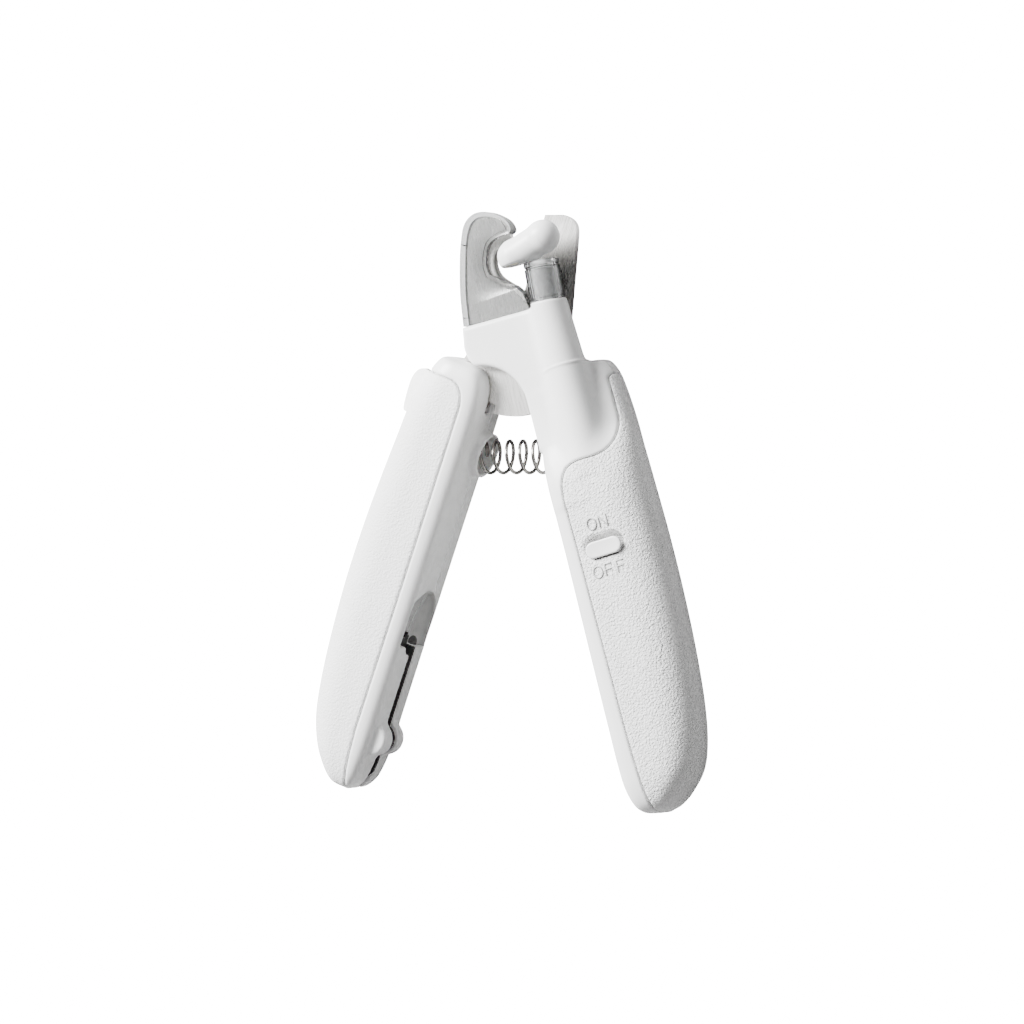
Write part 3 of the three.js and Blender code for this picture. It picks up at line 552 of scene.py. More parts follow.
def tube(name, route, radius, place, sides=16):
    """A round wire along a list of points, with rounded ends."""
    points = [Vector(p) for p in route]
    ways = [(b - a).normalized() for a, b in zip(points, points[1:])]
    ways = [ways[0]] + [(a + b).normalized() for a, b in zip(ways, ways[1:])] + [ways[-1]]
    side = ways[0].orthogonal().normalized()
    shape = bmesh.new()
    rings = []
    tips = [(0.05, 0.9), (0.6, 0.7)]  # size of a ring and how far it is past the end
    stations = [(points[0] - ways[0] * radius * past, ways[0], size) for size, past in tips]
    stations += [(point, way, 1.0) for point, way in zip(points, ways)]
    stations += [(points[-1] + ways[-1] * radius * past, ways[-1], size)
                 for size, past in reversed(tips)]
    for point, way, size in stations:
        side = (side - way * side.dot(way)).normalized()
        other = way.cross(side)
        rings.append([shape.verts.new(point + radius * size * (
            side * math.cos(2 * math.pi * i / sides) + other * math.sin(2 * math.pi * i / sides)))
            for i in range(sides)])
    for low, high in zip(rings, rings[1:]):
        for i in range(sides):
            j = (i + 1) % sides
            shape.faces.new((low[i], low[j], high[j], high[i]))
    shape.faces.new(rings[0][::-1])
    shape.faces.new(rings[-1])
    return made(shape, bpy.data.meshes.new(name), place)


# ---------------------------------------- materials
def add_node(tree, kind, *values, **named):
    """A shader node with its first sockets' values or links. Lower-case names are its settings."""
    node = tree.nodes.new("ShaderNode" + kind)
    for name, value in named.items():
        if name.islower():
            setattr(node, name, value)
    sockets = list(zip(node.inputs, values))
    sockets += [(node.inputs[name], value) for name, value in named.items() if not name.islower()]
    for socket, value in sockets:
        if isinstance(value, bpy.types.NodeSocket):
            tree.links.new(value, socket)
        else:
            socket.default_value = value
    return node


class Finish:
    """A procedural material. Sizes of its patterns are in millimetres."""

    def __init__(self, name, colour, roughness, **values):
        self.material = bpy.data.materials.new(name)
        self.material.use_nodes = True
        self.tree = self.material.node_tree
        self.shader = self.tree.nodes["Principled BSDF"]
        self.colour, self.roughness = colour, roughness
        self.shader.inputs["Base Color"].default_value = (*colour, 1)
        self.shader.inputs["Roughness"].default_value = roughness
        for socket, value in values.items():
            self.shader.inputs[socket.replace("_", " ")].default_value = value
        self.normal = None

    def node(self, kind, *values, **named):
        return add_node(self.tree, kind, *values, **named)

    def shade(self, socket, value):
        self.tree.links.new(value, self.shader.inputs[socket])
        return self

    def here(self):
        return self.node("TexCoord").outputs["Object"]

    def place(self, size, turn=0.0, middle=(0, 0, 0)):
        """Coordinates from a middle, turned, and measured in the sizes given."""
        mapping = self.node("Mapping", Vector=self.here(), Location=middle, Rotation=(0, 0, turn),
                            Scale=[s * MM for s in size], vector_type="TEXTURE")
        return mapping.outputs["Vector"]

    def noise(self, size, detail=2.0, turn=0.0, rough=0.5):
        size = size if isinstance(size, tuple) else (size,) * 3
        texture = self.node("TexNoise", Vector=self.place(size, turn), Scale=1, Detail=detail,
                            Roughness=rough)
        return texture.outputs["Fac"]

    def cells(self, size, feature="DISTANCE_TO_EDGE", warp=0.0):
        where = self.place((size,) * 3)
        if warp:
            shake = self.node("TexNoise", Vector=where, Scale=1.3)
            mix = self.node("VectorMath", shake.outputs["Color"], (warp,) * 3, where,
                            operation="MULTIPLY_ADD")
            where = mix.outputs["Vector"]
        texture = self.node("TexVoronoi", Vector=where, Scale=1, feature=feature)
        return texture.outputs["Distance"]

    def ranged(self, value, low, high, new_low, new_high):
        return self.node("MapRange", value, low, high, new_low, new_high).outputs["Result"]

    def tint(self, value, darker):
        """Mixes the colour towards a darker one where the pattern is low."""
        mix = self.node("Mix", Factor=value, A=(*[c * darker for c in self.colour], 1),
                        B=(*self.colour, 1), data_type="RGBA")
        return self.shade("Base Color", mix.outputs["Result"])

    def polish(self, value, spread):
        """Varies the roughness with a pattern."""
        return self.shade("Roughness", self.ranged(
            value, 0.3, 0.7, self.roughness - spread, self.roughness + spread))

    def away(self, point, low, high):
        """Rises from 0 to 1 with the distance from a point, in millimetres."""
        distance = self.node("VectorMath", self.here(), point, operation="DISTANCE")
        return self.ranged(distance.outputs["Value"], low * MM, high * MM, 0, 1)

    def beyond(self, place, direction, reach):
        """0 on the near side of a wall and 1 past it, in a half's own millimetres."""
        way = place.to_3x3() @ Vector(direction) / MM
        along = self.node("VectorMath", self.here(), way, operation="DOT_PRODUCT")
        return self.ranged(along.outputs["Value"], (reach - 0.2) * MM, reach * MM, 0, 1)

    def outside(self, place, turn, middle, sizes, least):
        """The least value in an oval hollow and 1 past its wall, in a half's own millimetres."""
        where = self.place(sizes, turn, place @ Vector(middle))
        length = self.node("VectorMath", where, operation="LENGTH")
        return self.ranged(length.outputs["Value"], 1.01, 1.06, least, 1)

    def pick(self, operation, result, *values):
        """The lowest or highest of some patterns."""
        for value in values:
            result = self.node("Math", result, value, operation=operation).outputs["Value"]
        return result

    def bump(self, value, depth, strength=1.0):
        """Raises the surface by a pattern, on top of any bump that it already has."""
        node = self.node("Bump", Height=value, Distance=depth * MM, Strength=strength)
        if self.normal:
            self.tree.links.new(self.normal, node.inputs["Normal"])
        self.normal = node.outputs["Normal"]
        return self.shade("Normal", self.normal)


def moulded(name, colour, roughness, **values):
    """Plain moulded plastic: a faint orange peel and a little unevenness."""
    finish = Finish(name, colour, roughness, **values)
    finish.tint(finish.ranged(finish.noise(9, 3), 0.3, 0.7, 0, 1), 0.975)
    finish.polish(finish.noise(4, 4), 0.05)
    finish.bump(finish.noise(0.35, 2), 0.006, 0.6)
    return finish


def leathery(name, colour, roughness, depth):
    """Soft grip plastic with a fine leather grain."""
    finish = Finish(name, colour, roughness, Specular_IOR_Level=0.35)
    grooves = finish.ranged(finish.cells(0.9, warp=0.9), 0.0, 0.32, 0, 1)
    lumps = finish.ranged(finish.noise(0.66, 2, rough=0.55), 0.36, 0.64, 0, 1)
    finish.tint(grooves, 0.97)
    finish.polish(finish.noise(2.5, 4), 0.06)
    finish.bump(grooves, depth, 0.8)
    finish.bump(lumps, depth * 1.3, 0.8)
    return finish


def metal(name, colour, roughness, turn=0.0, streak=(0.12, 6, 0.12), depth=0.004):
    """Steel with fine streaks of grinding along its own Y."""
    finish = Finish(name, colour, roughness, Metallic=1.0)
    streaks = finish.noise(streak, 4, turn)
    finish.tint(finish.ranged(finish.noise(5, 4), 0.35, 0.65, 0, 1), 0.93)
    finish.polish(streaks, 0.06)
    finish.bump(streaks, depth, 0.5)
    return finish


SHELL_WHITE = (0.87, 0.87, 0.865)
GRIP_WHITE = (0.84, 0.84, 0.835)
white = moulded("white_shell", SHELL_WHITE, 0.36, Specular_IOR_Level=0.45)
left_white_painted_shade = moulded("left_shell_painted_shade", SHELL_WHITE, 0.36, Specular_IOR_Level=0.45)

# Painted shade: white plastic renders too light in a hollow, so its colour is darkened inside the
# file's slot, round the file's hub, in the thumb hollow and in the scoop, where shade would fall.
painted_slot_shade = left_white_painted_shade.pick(
    "MAXIMUM", *[left_white_painted_shade.beyond(LEFT, *wall) for wall in SLOT_WALLS])
painted_hub_shade = left_white_painted_shade.away(LEFT @ Vector((FILE_PIN.x, FILE_PIN.y, 9.9)), 3.9, 4.2)
painted_thumb_shade = left_white_painted_shade.away(LEFT @ Vector((-5.1, -86.4, 5.5)), 1.9, 2.2)
scoop_shade = left_white_painted_shade.pick(
    "MAXIMUM", left_white_painted_shade.outside(LEFT, LEFT_TURN, SCOOP, SCOOP_SIZES, 0.5),
    left_white_painted_shade.beyond(LEFT, (0, -1, 0), -SCOOP_END),
    left_white_painted_shade.beyond(LEFT, (0, 0, 1), SCOOP_FRONT))
left_white_painted_shade.tint(left_white_painted_shade.pick("MINIMUM", painted_slot_shade, painted_hub_shade, painted_thumb_shade, scoop_shade), 0.06)

right_grip_finish = leathery("right_grip_grain", GRIP_WHITE, 0.55, 0.15)
left_grip_finish = leathery("left_grip_grain", GRIP_WHITE, 0.55, 0.06)
blade_right_half = metal("ground_steel_front_painted_shade", (0.78, 0.77, 0.75), 0.3, RIGHT_TURN, depth=0.0014)
# Painted shade: the front blade's steel is darkened within about 6 mm of the ground hollow round
# its nail hole.
painted_notch_shade = blade_right_half.away(RIGHT @ Vector((*NAIL_HOLE, 12.4)), 6, 6.3)
blade_right_half.tint(painted_notch_shade, 0.35)
blade_left_half = metal("ground_steel_rear_painted_reflection", (0.76, 0.75, 0.73), 0.28, LEFT_TURN, depth=0.0014)
# Painted reflection: the rear blade's steel is darkened near its jaw beside the lamp, fading out
# between 9 and 15 mm away.
painted_dark_reflection = blade_left_half.away(LEFT @ Vector((5.5, 17, 9.8)), 9, 15)
blade_left_half.tint(painted_dark_reflection, 0.45)
bright_steel = metal("bright_steel", (0.92, 0.92, 0.91), 0.5)
spring_steel = metal("spring_steel", (0.3, 0.29, 0.27), 0.16, streak=(0.5, 0.5, 0.5))
file_finish = metal("file_steel", (0.1, 0.1, 0.1), 0.42, LEFT_TURN)
file_finish.bump(file_finish.cells(0.5, "F1"), 0.08, 0.9)
screw_steel = metal("screw_steel", (0.5, 0.5, 0.49), 0.3, streak=(0.6, 0.6, 0.6))
knob_finish = moulded("knob_plastic", (0.86, 0.86, 0.855), 0.34)
# Painted shade: the raised letters are grey instead of the grip's white, standing in for the shade
# round their strokes.
painted_shade_marks = moulded("raised_marks", (0.5, 0.5, 0.495), 0.45)


def clear_plastic():
    finish = Finish("clear_plastic", (0.97, 0.98, 0.985), 0.03, Transmission_Weight=1.0, IOR=1.49,
                    Specular_IOR_Level=0.2)
    # Painted reflection: the colour turns nearly black where the surface is seen edge-on, standing
    # in for dark surroundings seen in the clear walls.
    edge = finish.node("LayerWeight", Blend=0.35)
    finish.tint(finish.ranged(edge.outputs["Facing"], 0.1, 0.45, 1, 0), 0.02)
    finish.bump(finish.noise(2.2, 2), 0.004, 0.4)
    return finish


clear = clear_plastic()


# ---------------------------------------- placing pieces
def fitted(piece, body, finish, slot, *nodes):
    """Gives a piece its finish, its body and the CAD nodes that it stands for."""
    piece.data.materials.clear()
    piece.data.materials.append(finish.material)
    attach(piece, body)
    if nodes:
        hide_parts(*nodes)


# ---------------------------------------- right half
lamp_way = (LAMP_TOP - LAMP_FOOT).normalized()


def along_lamp(distance):
    return LAMP_FOOT + lamp_way * distance


def right_form(clay):
    body = blend(clay.handle(RIGHT_STATIONS, 1), clay.handle(BRIDGE, 1), 2.5)
    head = clay.slab(head_outline(), HEAD_BACK, HEAD_FRONT, 1.2)
    tube_form = clay.rod(along_lamp(1.2), TUBE_ROOT, LAMP_RADIUS, TUBE_RADIUS)
    body = blend(blend(body, head, 1.6), tube_form, 3)
    return common(body, clay.rod(along_lamp(0.2), along_lamp(-160), 60), 0.5)


def opening():
    return pill(*SWITCH, SWITCH_LENGTH + 1, SWITCH_WIDTH + SWITCH_TRAVEL + 0.6)


def grip_bed(clay, form, region):
    """The recess that a grip panel sits in."""
    skin = np.maximum(clay.prism(region) - SEAM, -(form + SKIN + 0.15))
    return np.maximum(skin, GRIP_BACK - 0.2 - clay.z)


def well(clay, place_x, end_x, radius):
    start = Vector((place_x, SPRING_SEAT.y, SPRING_SEAT.z))
    return clay.rod(start, Vector((end_x, SPRING_SEAT.y, SPRING_SEAT.z)), radius)


def screw_holes(clay, shell, side, numbers, place):
    """The shell with a sunk hole for each of a half's screws."""
    radius, depth = SCREW_HOLE
    for number in numbers:
        x, y, _ = local(f"{side}_screw_{number}", place)
        shell = carve(shell, clay.slab(round_outline(x, y, radius), -3, depth), soft=0.5)
    return shell


def right_front_casing():
    clay = Clay((-14.5, -134, 6.5), (29.5, 12, 25))
    form = right_form(clay)
    bed = grip_bed(clay, form, right_grip_region())
    blade, guard = (clay.slab(outline, FRONT_BLADE[0] - 0.1, FRONT_BLADE[1] + 0.1)
                    for outline in (front_jaw_outline(), pie(SECTOR_RADIUS + 0.2, *GUARD_ANGLES)))
    hub = clay.slab(round_outline(0, 0, HUB_CLEAR), 0, HEAD_BACK - 0.2)
    shell = common(form, SPLIT + 0.05 - clay.z, 0.5)
    shell = carve(shell, blade, guard, hub, well(clay, 6, -4, RIGHT_WELL))
    shell = carve(shell, bed, clay.slab(opening(), SWITCH_WELL, 30), soft=0.5)
    piece = clay.piece("right_front_casing", shell, RIGHT)
    fitted(piece, "right_half", white, "white_plastic", "right_front_shell")


def right_grip_panel():
    clay = Clay((3, -134, 4.5), (29.5, -12, 22))
    form = right_form(clay)
    region = clay.prism(right_grip_region())
    panel = common(form, -(form + SKIN), 0.3)
    panel = common(common(panel, region + SEAM, 0.6), GRIP_BACK - clay.z, 0.5)
    panel = carve(panel, clay.slab(opening(), 10, 30), soft=0.6)
    piece = clay.piece("right_grip_panel", panel, RIGHT)
    fitted(piece, "right_half", right_grip_finish, "grip_plastic", "right_grip")


def right_back_casing():
    clay = Clay((-2, -134, -1.5), (29.5, -6, 10))
    form = clay.handle(RIGHT_STATIONS, 1)
    shell = common(form, clay.z - SPLIT + 0.05, 0.5)
    shell = carve(shell, grip_bed(clay, form, right_grip_region()), soft=0.4)
    door = pill(13.6, -96.4, DOOR_LENGTH + 2 * DOOR_GAP, DOOR_WIDTH + 2 * DOOR_GAP, upright=True)
    hub = clay.slab(round_outline(0, 0, HUB_CLEAR), -3, 12)
    shell = carve(shell, hub, clay.slab(door, -3, 1.7), well(clay, 6, -4, RIGHT_WELL), soft=0.5)
    shell = screw_holes(clay, shell, "right", (1, 2, 3), RIGHT)
    piece = clay.piece("right_back_casing", shell, RIGHT)
    fitted(piece, "right_half", white, "white_plastic", "right_back_shell")


def front_blade():
    piece = joined_plates("front_blade", FRONT_BLADE, RIGHT, front_jaw_outline(),
                          pie(SECTOR_RADIUS, *GUARD_ANGLES), round_outline(0, 0, 12), FRONT_TANG)
    first, last = (math.radians(angle) for angle in NOTCH_ANGLES)
    inner, outer = NOTCH_RADIUS, SECTOR_RADIUS + 3.8
    gap = [(r * math.cos(a), r * math.sin(a))
           for r, a in ((inner, first), (inner, last), (outer, last), (outer, first))]
    hollow = turned("hollow", [(0, 0), (5.2, 0), (7.7, 2.2), (0, 2.2)],
                    Vector((*NAIL_HOLE, FRONT_BLADE[0] + 0.5)), Vector((*NAIL_HOLE, 20)), RIGHT, 96)
    boolean(piece, [sheet("gap", [gap], 9, 14, RIGHT), hollow], "DIFFERENCE")
    bevelled(piece, 0.35, 3)
    fitted(piece, "right_half", blade_right_half, "blade_steel", "left_blade")


def lamp_hood():
    clay = Clay((0, 16, 12), (26, 32, 26.5), 0.16)
    cone = clay.rod(LAMP_BALL, LAMP_NOSE, BALL_RADIUS - 0.3, NOSE_RADIUS - 0.1)
    body = np.minimum(clay.ball(LAMP_BALL, BALL_RADIUS), clay.ball(LAMP_NOSE, NOSE_RADIUS))
    body = blend(body, cone, 0.6)
    mouth = clay.box((-20, 0, 0), (LED_X + 4.5, MOUTH_Y, 40))
    mouth_middle, bore_top = (Vector((LED_X, y, LAMP_NOSE.z)) for y in (16.8, 23.4))
    bore = clay.rod(mouth_middle, bore_top, 2.9, 2.1)
    neck = clay.rod(along_lamp(LAMP_LENGTH + 0.2), along_lamp(-20), 12)
    neck = np.maximum(neck, LED_X + 4 - clay.x)
    body = carve(body, mouth, bore, soft=0.5)
    piece = clay.piece("lamp_shade", carve(body, neck, soft=0.4), RIGHT)
    fitted(piece, "right_half", white, "white_plastic", "lamp_hood")


def lamp_neck():
    outer = LAMP_RADIUS
    top = LAMP_LENGTH
    collar = turned("clear_collar", [
        (3.6, 0.35), (outer - 0.2, 0.3), (outer, 0.5), (outer, 0.9), (outer - 0.12, 1.0),
        (outer - 0.12, 1.2), (outer, 1.3), (outer, top - 2), (outer - 0.3, top - 1.8),
        (outer - 0.3, top - 1.5), (outer, top - 1.3), (outer, top - 0.3), (outer - 0.3, top),
        (3.8, top), (3.6, top - 0.2), (3.6, 0.35)], LAMP_FOOT, LAMP_TOP, RIGHT, 96)
    fitted(collar, "right_half", clear, "clear_plastic", "lamp_collar")
    stem = turned("lamp_post", [
        (1.4, 0.3), (3.2, 0.3), (3.3, 0.4), (3.3, top - 2.4), (3.0, top - 2.1), (3.0, top - 0.2),
        (2.8, top), (1.4, top), (1.4, 0.3)], LAMP_FOOT, LAMP_TOP, RIGHT, 96)
    fitted(stem, "right_half", white, "white_plastic", "lamp_stem")


def nail_catcher():
    back, front = 10.1, 14.3
    outer = sheet("clear_catcher", [catcher_outline()], back - 5, front, RIGHT)
    bevelled(outer, 1.7, 7, 60)
    hollow = sheet("hollow", [catcher_hollow()], back - 8, front - 1.1, RIGHT)
    bevelled(hollow, 0.9, 5, 60)
    rail = [(-14, 11), (-8.8, 11), (-3.8, 29), (-9, 31)]
    below = sheet("below", [round_outline(0, 20, 40)], back - 9, back - 1.3, RIGHT)
    beside = sheet("beside", [round_outline(0, 20, 40), rail], back - 3, back, RIGHT)
    boolean(outer, [hollow, below, beside], "DIFFERENCE")
    outer.data.set_sharp_from_angle(angle=math.radians(30))
    outer.modifiers.new("even_normals", "WEIGHTED_NORMAL").keep_sharp = True
    settled(outer)
    fitted(outer, "nail_catcher", clear, "clear_plastic", "nail_catcher")


def switch_knob():
    clay = Clay((KNOB.x - 6.5, KNOB.y - 4, 16.2), (KNOB.x + 6.5, KNOB.y + 4, 22), 0.12)
    body = clay.slab(pill(KNOB.x, KNOB.y, SWITCH_LENGTH, SWITCH_WIDTH), 16.9, SWITCH_FRONT, 0.55)
    dish = clay.ball((KNOB.x, KNOB.y, SWITCH_FRONT + 17.7), 18, (1.6, 1, 1))
    piece = clay.piece("slide_knob", carve(body, dish, soft=0.4), RIGHT)
    fitted(piece, "switch_knob", knob_finish, "white_plastic", "switch_knob")


def letters():
    """ON above the switch and OFF below it, in thin raised strokes."""
    ring = [(0.42 + 0.42 * math.cos(a), 0.5 + 0.5 * math.sin(a))
            for a in [2 * math.pi * i / 24 for i in range(25)]]
    strokes = {
        "O": [ring],
        "N": [[(0, 0), (0, 1)], [(0, 1), (0.72, 0)], [(0.72, 0), (0.72, 1)]],
        "F": [[(0, 0), (0, 1)], [(0, 1), (0.62, 1)], [(0, 0.52), (0.55, 0.52)]],
    }
    height, pitch = 3.1, 3.5
    for word, middle_y, z in (("ON", SWITCH[1] + 6.2, 20.24), ("OFF", SWITCH[1] - 6.6, 20.08)):
        start = SWITCH[0] - pitch * (len(word) - 0.28) / 2
        for place, letter in enumerate(word):
            for number, stroke in enumerate(strokes[letter]):
                route = []
                for x, y in stroke:
                    across = start + pitch * place + height * x
                    fall = 0.012 * max(0, across - SWITCH[0]) ** 2
                    route.append((across, middle_y + height * (y - 0.5), z - fall))
                piece = tube(f"mark_{word}_{place}_{number}", route, 0.19, RIGHT, 8)
                fitted(piece, "right_half", painted_shade_marks, "grip_plastic")


# ---------------------------------------- left half
def left_form(clay):
    body = clay.handle(LEFT_STATIONS, -1)
    boss = well(clay, -6, 1.4, 6.2)
    ears = clay.slab(round_outline(FILE_PIN.x, FILE_PIN.y, 4.7), 3.8, 16.6, 1)
    return blend(blend(body, common(boss, clay.x - 1.4, 0.6), 1.2), ears, 1.4)


def lever_slot(clay):
    return clay.box((-32, -30.6, LEVER_PLATE[0] - 0.25), (-8.6, -11.2, LEVER_PLATE[1] + 0.25))


def file_pocket(clay):
    back, front = SPLIT - 0.15, 11.4
    stored = clay.box((-11.1, SLOT_END, back), (12, SLOT_TOP, front))
    hub = clay.slab(round_outline(FILE_PIN.x, FILE_PIN.y, 4.8), back, front)
    tail = clay.box((-8.6, -140, 8.5), (12, FILE_PIN.y, 10.7))
    return np.minimum(np.minimum(stored, hub), tail)


def scoop(clay):
    bowl = clay.ball(SCOOP, 1, SCOOP_SIZES)
    bowl = common(bowl, clay.box((-20, SCOOP_END, 1), (10, -60, SCOOP_FRONT)), 0.5)
    inner, outer = (Vector((x, SCOOP_END + 0.6, 12)) for x in (-7.6, 2))
    return np.minimum(bowl, clay.rod(inner, outer, THUMB_RADIUS))


def rear_tang_bed(clay):
    return clay.slab(REAR_TANG, REAR_BLADE[0] - 0.15, REAR_BLADE[1] + 0.15)


def left_front_casing():
    clay = Clay((-27.5, -131.5, 6.5), (4, -6.5, 22))
    form = left_form(clay)
    bed = grip_bed(clay, form, left_grip_region())
    guard = clay.slab(pie(SECTOR_RADIUS + 1, -143, -70), 9.9, 12.9)
    shell = common(form, SPLIT + 0.05 - clay.z, 0.5)
    shell = carve(shell, guard, rear_tang_bed(clay), lever_slot(clay), file_pocket(clay),
                  scoop(clay), well(clay, -3.4, 4, SPRING_WELL), soft=0.4)
    piece = clay.piece("left_front_casing", carve(shell, bed, soft=0.5), LEFT)
    fitted(piece, "left_half", left_white_painted_shade, "white_plastic", "left_front_shell")


def left_grip_panel():
    clay = Clay((-27.5, -131.5, 4.5), (-3, -11, 22))
    form = left_form(clay)
    panel = common(form, -(form + SKIN), 0.3)
    panel = common(panel, clay.prism(left_grip_region()) + SEAM, 0.6)
    panel = common(panel, GRIP_BACK - clay.z, 0.5)
    piece = clay.piece("left_grip_panel", carve(panel, lever_slot(clay), soft=0.4), LEFT)
    fitted(piece, "left_half", left_grip_finish, "grip_plastic", "left_grip")


def left_back_casing():
    clay = Clay((-27.5, -131.5, -1.5), (4, -6.5, 10))
    form = left_form(clay)
    shell = common(form, clay.z - SPLIT + 0.05, 0.5)
    shell = carve(shell, grip_bed(clay, form, left_grip_region()), soft=0.4)
    shell = carve(shell, rear_tang_bed(clay), scoop(clay), well(clay, -3.4, 4, SPRING_WELL),
                  soft=0.4)
    shell = screw_holes(clay, shell, "left", (1, 2, 3, 4), LEFT)
    piece = clay.piece("left_back_casing", shell, LEFT)
    fitted(piece, "left_half", left_white_painted_shade, "white_plastic", "left_back_shell")


def rear_blade():
    piece = joined_plates("rear_blade", REAR_BLADE, LEFT, rear_jaw_outline(), REAR_TANG,
                          round_outline(0, 0, 12.3))
    bevelled(piece, 0.4, 3)
    fitted(piece, "left_half", blade_left_half, "blade_steel", "right_blade")


def lock_lever():
    hole = round_outline(LOCK_PIN.x, LOCK_PIN.y, PIN_HOLE, 32)
    piece = sheet("lock_lever_plate", [lock_lever_outline(), hole], *LEVER_PLATE, LEFT)
    bevelled(piece, 0.35, 3)
    fitted(piece, "lock_lever", bright_steel, "polished_steel", "lock_lever")


def nail_file():
    hole = round_outline(FILE_PIN.x, FILE_PIN.y, PIN_HOLE, 32)
    front = FILE_BACK + 1.8
    piece = sheet("nail_file_plate", [file_outline(), hole], FILE_BACK, front, LEFT)
    corners = [(-6.8, -87.5), (-4.4, -87.5), (-4.4, -84.9), (-6.8, -84.9)]
    boolean(piece, [sheet("thumb_tab", [corners], front - 0.1, FILE_TAB_FRONT, LEFT)], "UNION")
    bevelled(piece, 0.2, 2)
    fitted(piece, "nail_file", file_finish, "file_steel", "nail_file")


# ---------------------------------------- spring between the halves
def coil_spring():
    wire = 0.5
    radius = (COIL_HIGH.z - COIL_LOW.z) / 2 - wire
    middle = (COIL_LOW + COIL_HIGH) / 2
    left, right = COIL_LOW.x + wire, COIL_HIGH.x - wire
    steps = 360
    route = []
    for i in range(steps + 1):
        x = left + (right - left) * i / steps
        angle = 2 * math.pi * (x - SPRING_FRONT) / SPRING_PITCH
        route.append((x, middle.y - radius * math.sin(angle), middle.z + radius * math.cos(angle)))
    piece = tube("return_spring", route, wire, ROW)
    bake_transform(piece)
    piece.data.materials.append(spring_steel.material)
    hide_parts("coil_spring")


# ---------------------------------------- pieces on the back
def cross(x, y, arm, width):
    """The outline of a cross about a point."""
    half = width / 2
    corner = [(half, -arm), (half, -half), (arm, -half), (arm, half), (half, half), (half, arm)]
    return [(x + u, y + v) for u, v in corner + [(-u, -v) for u, v in corner]]


def screw(node, body, place, radius, back, front):
    """A screw with a domed head and a cross recess, its head towards the back."""
    middle = local(node, place)
    foot = Vector((middle.x, middle.y, 0))
    tip = layer(node)[1]
    deep = front - back
    pitch = 0.35
    thread = [(1.0 if i % 2 else 0.84, front + 0.3 + pitch * i)
              for i in range(int((tip - front - 1) / pitch))]
    piece = turned(f"cross_{node}", [
        (0, back), (radius * 0.66, back + 0.02 * deep), (radius * 0.9, back + 0.1 * deep),
        (radius, back + 0.3 * deep), (radius, front - 0.05 * deep),
        (radius - 0.05 * deep, front), (0.9, front), *thread,
        (0.8, tip - 0.5), (0, tip)], foot, foot + Vector((0, 0, 1)), place, 40)
    slots = cross(middle.x, middle.y, radius * 0.55, 0.5)
    recess = sheet("recess", [slots], back - 1, back + 0.6 * deep, place)
    boolean(piece, [recess], "DIFFERENCE")
    piece.data.set_sharp_from_angle(angle=math.radians(35))
    fitted(piece, body, screw_steel, "polished_steel", node)


def pivot_cover():
    foot = Vector((0, 0, 0))
    piece = turned("pivot_cover", [
        (0, 0), (5.1, 0), (5.3, 0.25), (5.7, 0.25), (5.9, 0), (7.2, 0), (8.1, 0.35), (8.5, 1.1),
        (8.5, 7.2), (8.4, 7.3), (6.1, 7.3), (6.1, 2.4), (0, 2.4)],
        foot, foot + Vector((0, 0, 1)), RIGHT, 128)
    fitted(piece, "right_half", white, "white_plastic", "pivot_cap")


def battery_hatch():
    x, y, _ = local("battery_door", RIGHT)
    screw_x, screw_y, _ = local("battery_door_screw", RIGHT)
    clay = Clay((x - 8, y - 18, -0.8), (x + 8, y + 18, 2.4), 0.2)
    door = clay.slab(pill(x, y, DOOR_LENGTH, DOOR_WIDTH, upright=True), 0, 1.5, 0.4)
    hole = clay.slab(round_outline(screw_x, screw_y, 2.1), -2, 0.7)
    shank = clay.slab(round_outline(screw_x, screw_y, 1.3), -2, 4)
    ribs = [clay.slab(pill(x, y + 14 - 1.5 * n, 7.5 - 0.6 * abs(n - 2), 0.7), -2, 0.4, 0.2)
            for n in range(5)]
    piece = clay.piece("battery_hatch", carve(door, hole, shank, *ribs, soft=0.2), RIGHT)
    fitted(piece, "right_half", white, "white_plastic", "battery_door")


# ---------------------------------------- small CAD nodes that stay
def keep(finish, *nodes):
    """Gives CAD nodes a finish in place of their plain one."""
    for node in nodes:
        piece = frame["nodes"][node]
        piece.data.materials.clear()
        piece.data.materials.append(finish.material)


for build in (right_front_casing, right_grip_panel, right_back_casing, front_blade, lamp_hood,
              lamp_neck, nail_catcher, switch_knob, left_front_casing, left_grip_panel,
              left_back_casing, rear_blade, lock_lever, nail_file, coil_spring, letters,
              pivot_cover, battery_hatch):
    build()
for i in (1, 2, 3):
    screw(f"right_screw_{i}", "right_half", RIGHT, *SCREW_HEAD)
for i in (1, 2, 3, 4):
    screw(f"left_screw_{i}", "left_half", LEFT, *SCREW_HEAD)
screw("battery_door_screw", "right_half", RIGHT, 1.9, 0.1, 0.65)
keep(white, "pivot_washer")
keep(bright_steel, "pivot_bolt", "pivot_nut", "lock_pin", "file_pin",
     *[f"{side}_rivet_{i}" for side in ("left", "right") for i in (1, 2)],
     "switch_housing", "battery_contact", "battery_spring",
     *[f"button_cell_{i}" for i in (1, 2, 3)])
keep(moulded("lens", (0.95, 0.92, 0.75), 0.2), "led")
keep(moulded("wire_cover", (0.4, 0.08, 0.06), 0.5), "led_wire_1", "led_wire_2", "led_resistor")
keep(moulded("board_green", (0.05, 0.2, 0.09), 0.5), "circuit_board")


# ---------------------------------------- studio
PAPER_GLOW = 18.0
SKY = {"X": (-0.7, 0.7, 1.0, 0.16), "Z": (0.0, 0.7, 0.12, 1.0)}  # direction to brightness
VIEW_ANGLE = 24  # the camera leans this far from straight above, to the right
FRAMING = (-0.00536, -0.04476)  # the picture's middle, from the pivot, in metres
FOCUS_HEIGHT = 0.01
LENS = 200
VIEW_DISTANCE = 1.525


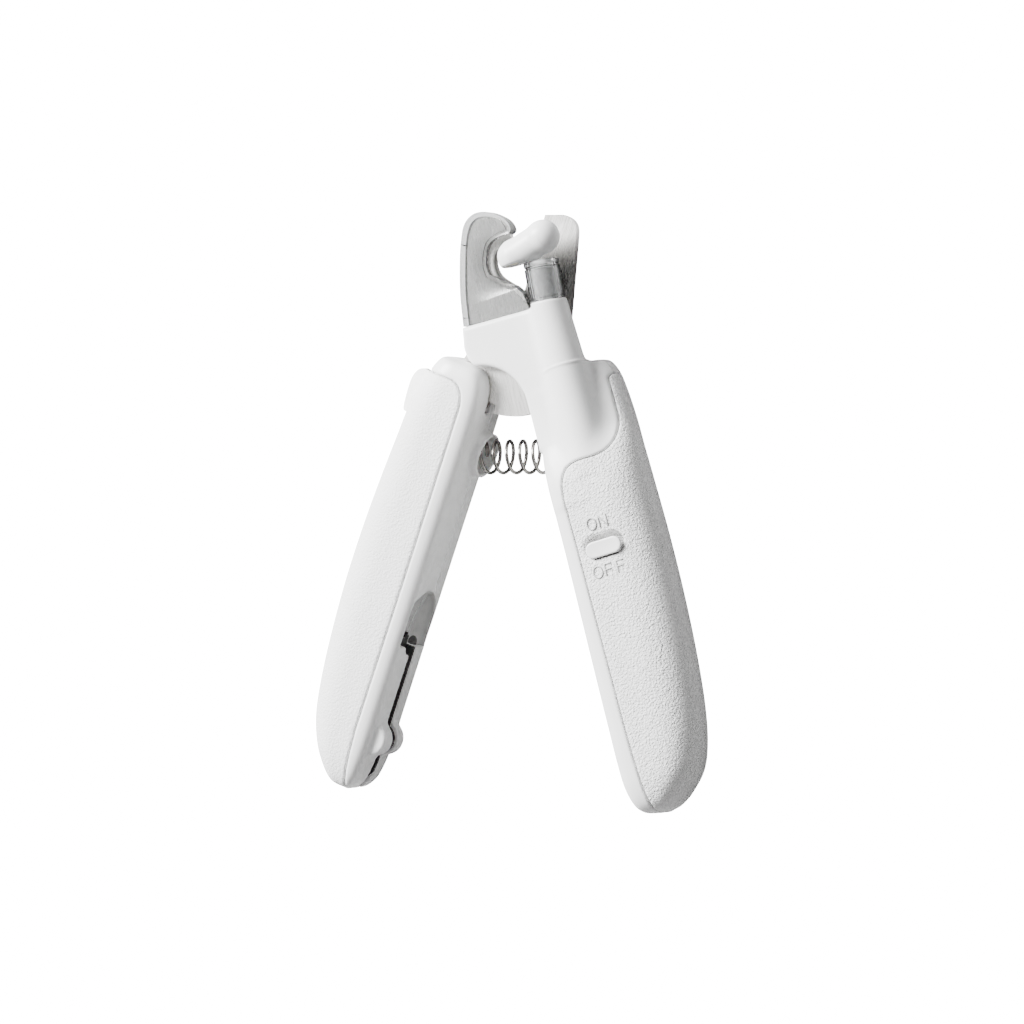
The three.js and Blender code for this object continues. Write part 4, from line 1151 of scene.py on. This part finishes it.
def area_light(name, offset, size, power, target):
    data = bpy.data.lights.new(name, "AREA")
    data.shape = "DISK"
    data.size = size
    data.energy = power
    lamp = bpy.data.objects.new(name, data)
    lamp.location = target + Vector(offset)
    lamp.rotation_euler = (target - lamp.location).to_track_quat("-Z", "Y").to_euler()
    bpy.context.scene.collection.objects.link(lamp)


def studio():
    low, high = cad_box
    middle = (low + high) / 2
    bpy.ops.mesh.primitive_plane_add(size=6, location=(middle.x, middle.y, low.z))
    floor = bpy.context.object
    floor.name = "studio_floor"
    paper = Finish("studio_paper", (0.4, 0.4, 0.4), 0.8)
    paper.tint(paper.noise(300, 2), 0.995)
    seen = paper.node("LightPath").outputs["Is Camera Ray"]
    paper.shade("Emission Strength", paper.ranged(seen, 0, 1, 0.04, PAPER_GLOW))
    paper.shader.inputs["Emission Color"].default_value = (1, 1, 1, 1)
    floor.data.materials.append(paper.material)
    area_light("softbox", (-0.7, 0.62, 0.8), 0.62, 70, middle)
    area_light("key", (-0.75, 0.45, 0.5), 0.3, 12, middle)
    world = bpy.data.worlds.new("studio")
    world.use_nodes = True
    tree = world.node_tree
    parts = add_node(tree, "SeparateXYZ", add_node(tree, "TexCoord").outputs["Generated"])
    levels = [add_node(tree, "MapRange", parts.outputs[axis], *limits).outputs["Result"]
              for axis, limits in SKY.items()]
    product = add_node(tree, "Math", *levels, operation="MULTIPLY")
    background = tree.nodes["Background"]
    tree.links.new(product.outputs["Value"], background.inputs["Strength"])
    background.inputs["Color"].default_value = (1, 1, 1, 1)
    bpy.context.scene.world = world


def camera():
    angle = math.radians(VIEW_ANGLE)
    right = Vector((math.cos(angle), 0, -math.sin(angle)))
    toward = Vector((math.sin(angle), 0, math.cos(angle)))
    target = right * FRAMING[0] + Vector((0, FRAMING[1], 0))
    place = target + toward * (VIEW_DISTANCE + FOCUS_HEIGHT * math.cos(angle))
    data = bpy.data.cameras.new("camera")
    data.lens = LENS
    view = bpy.data.objects.new("camera", data)
    view.matrix_world = Matrix((
        (right.x, 0, toward.x, place.x),
        (right.y, 1, toward.y, place.y),
        (right.z, 0, toward.z, place.z),
        (0, 0, 0, 1)))
    bpy.context.scene.collection.objects.link(view)
    bpy.context.scene.camera = view


studio()
camera()
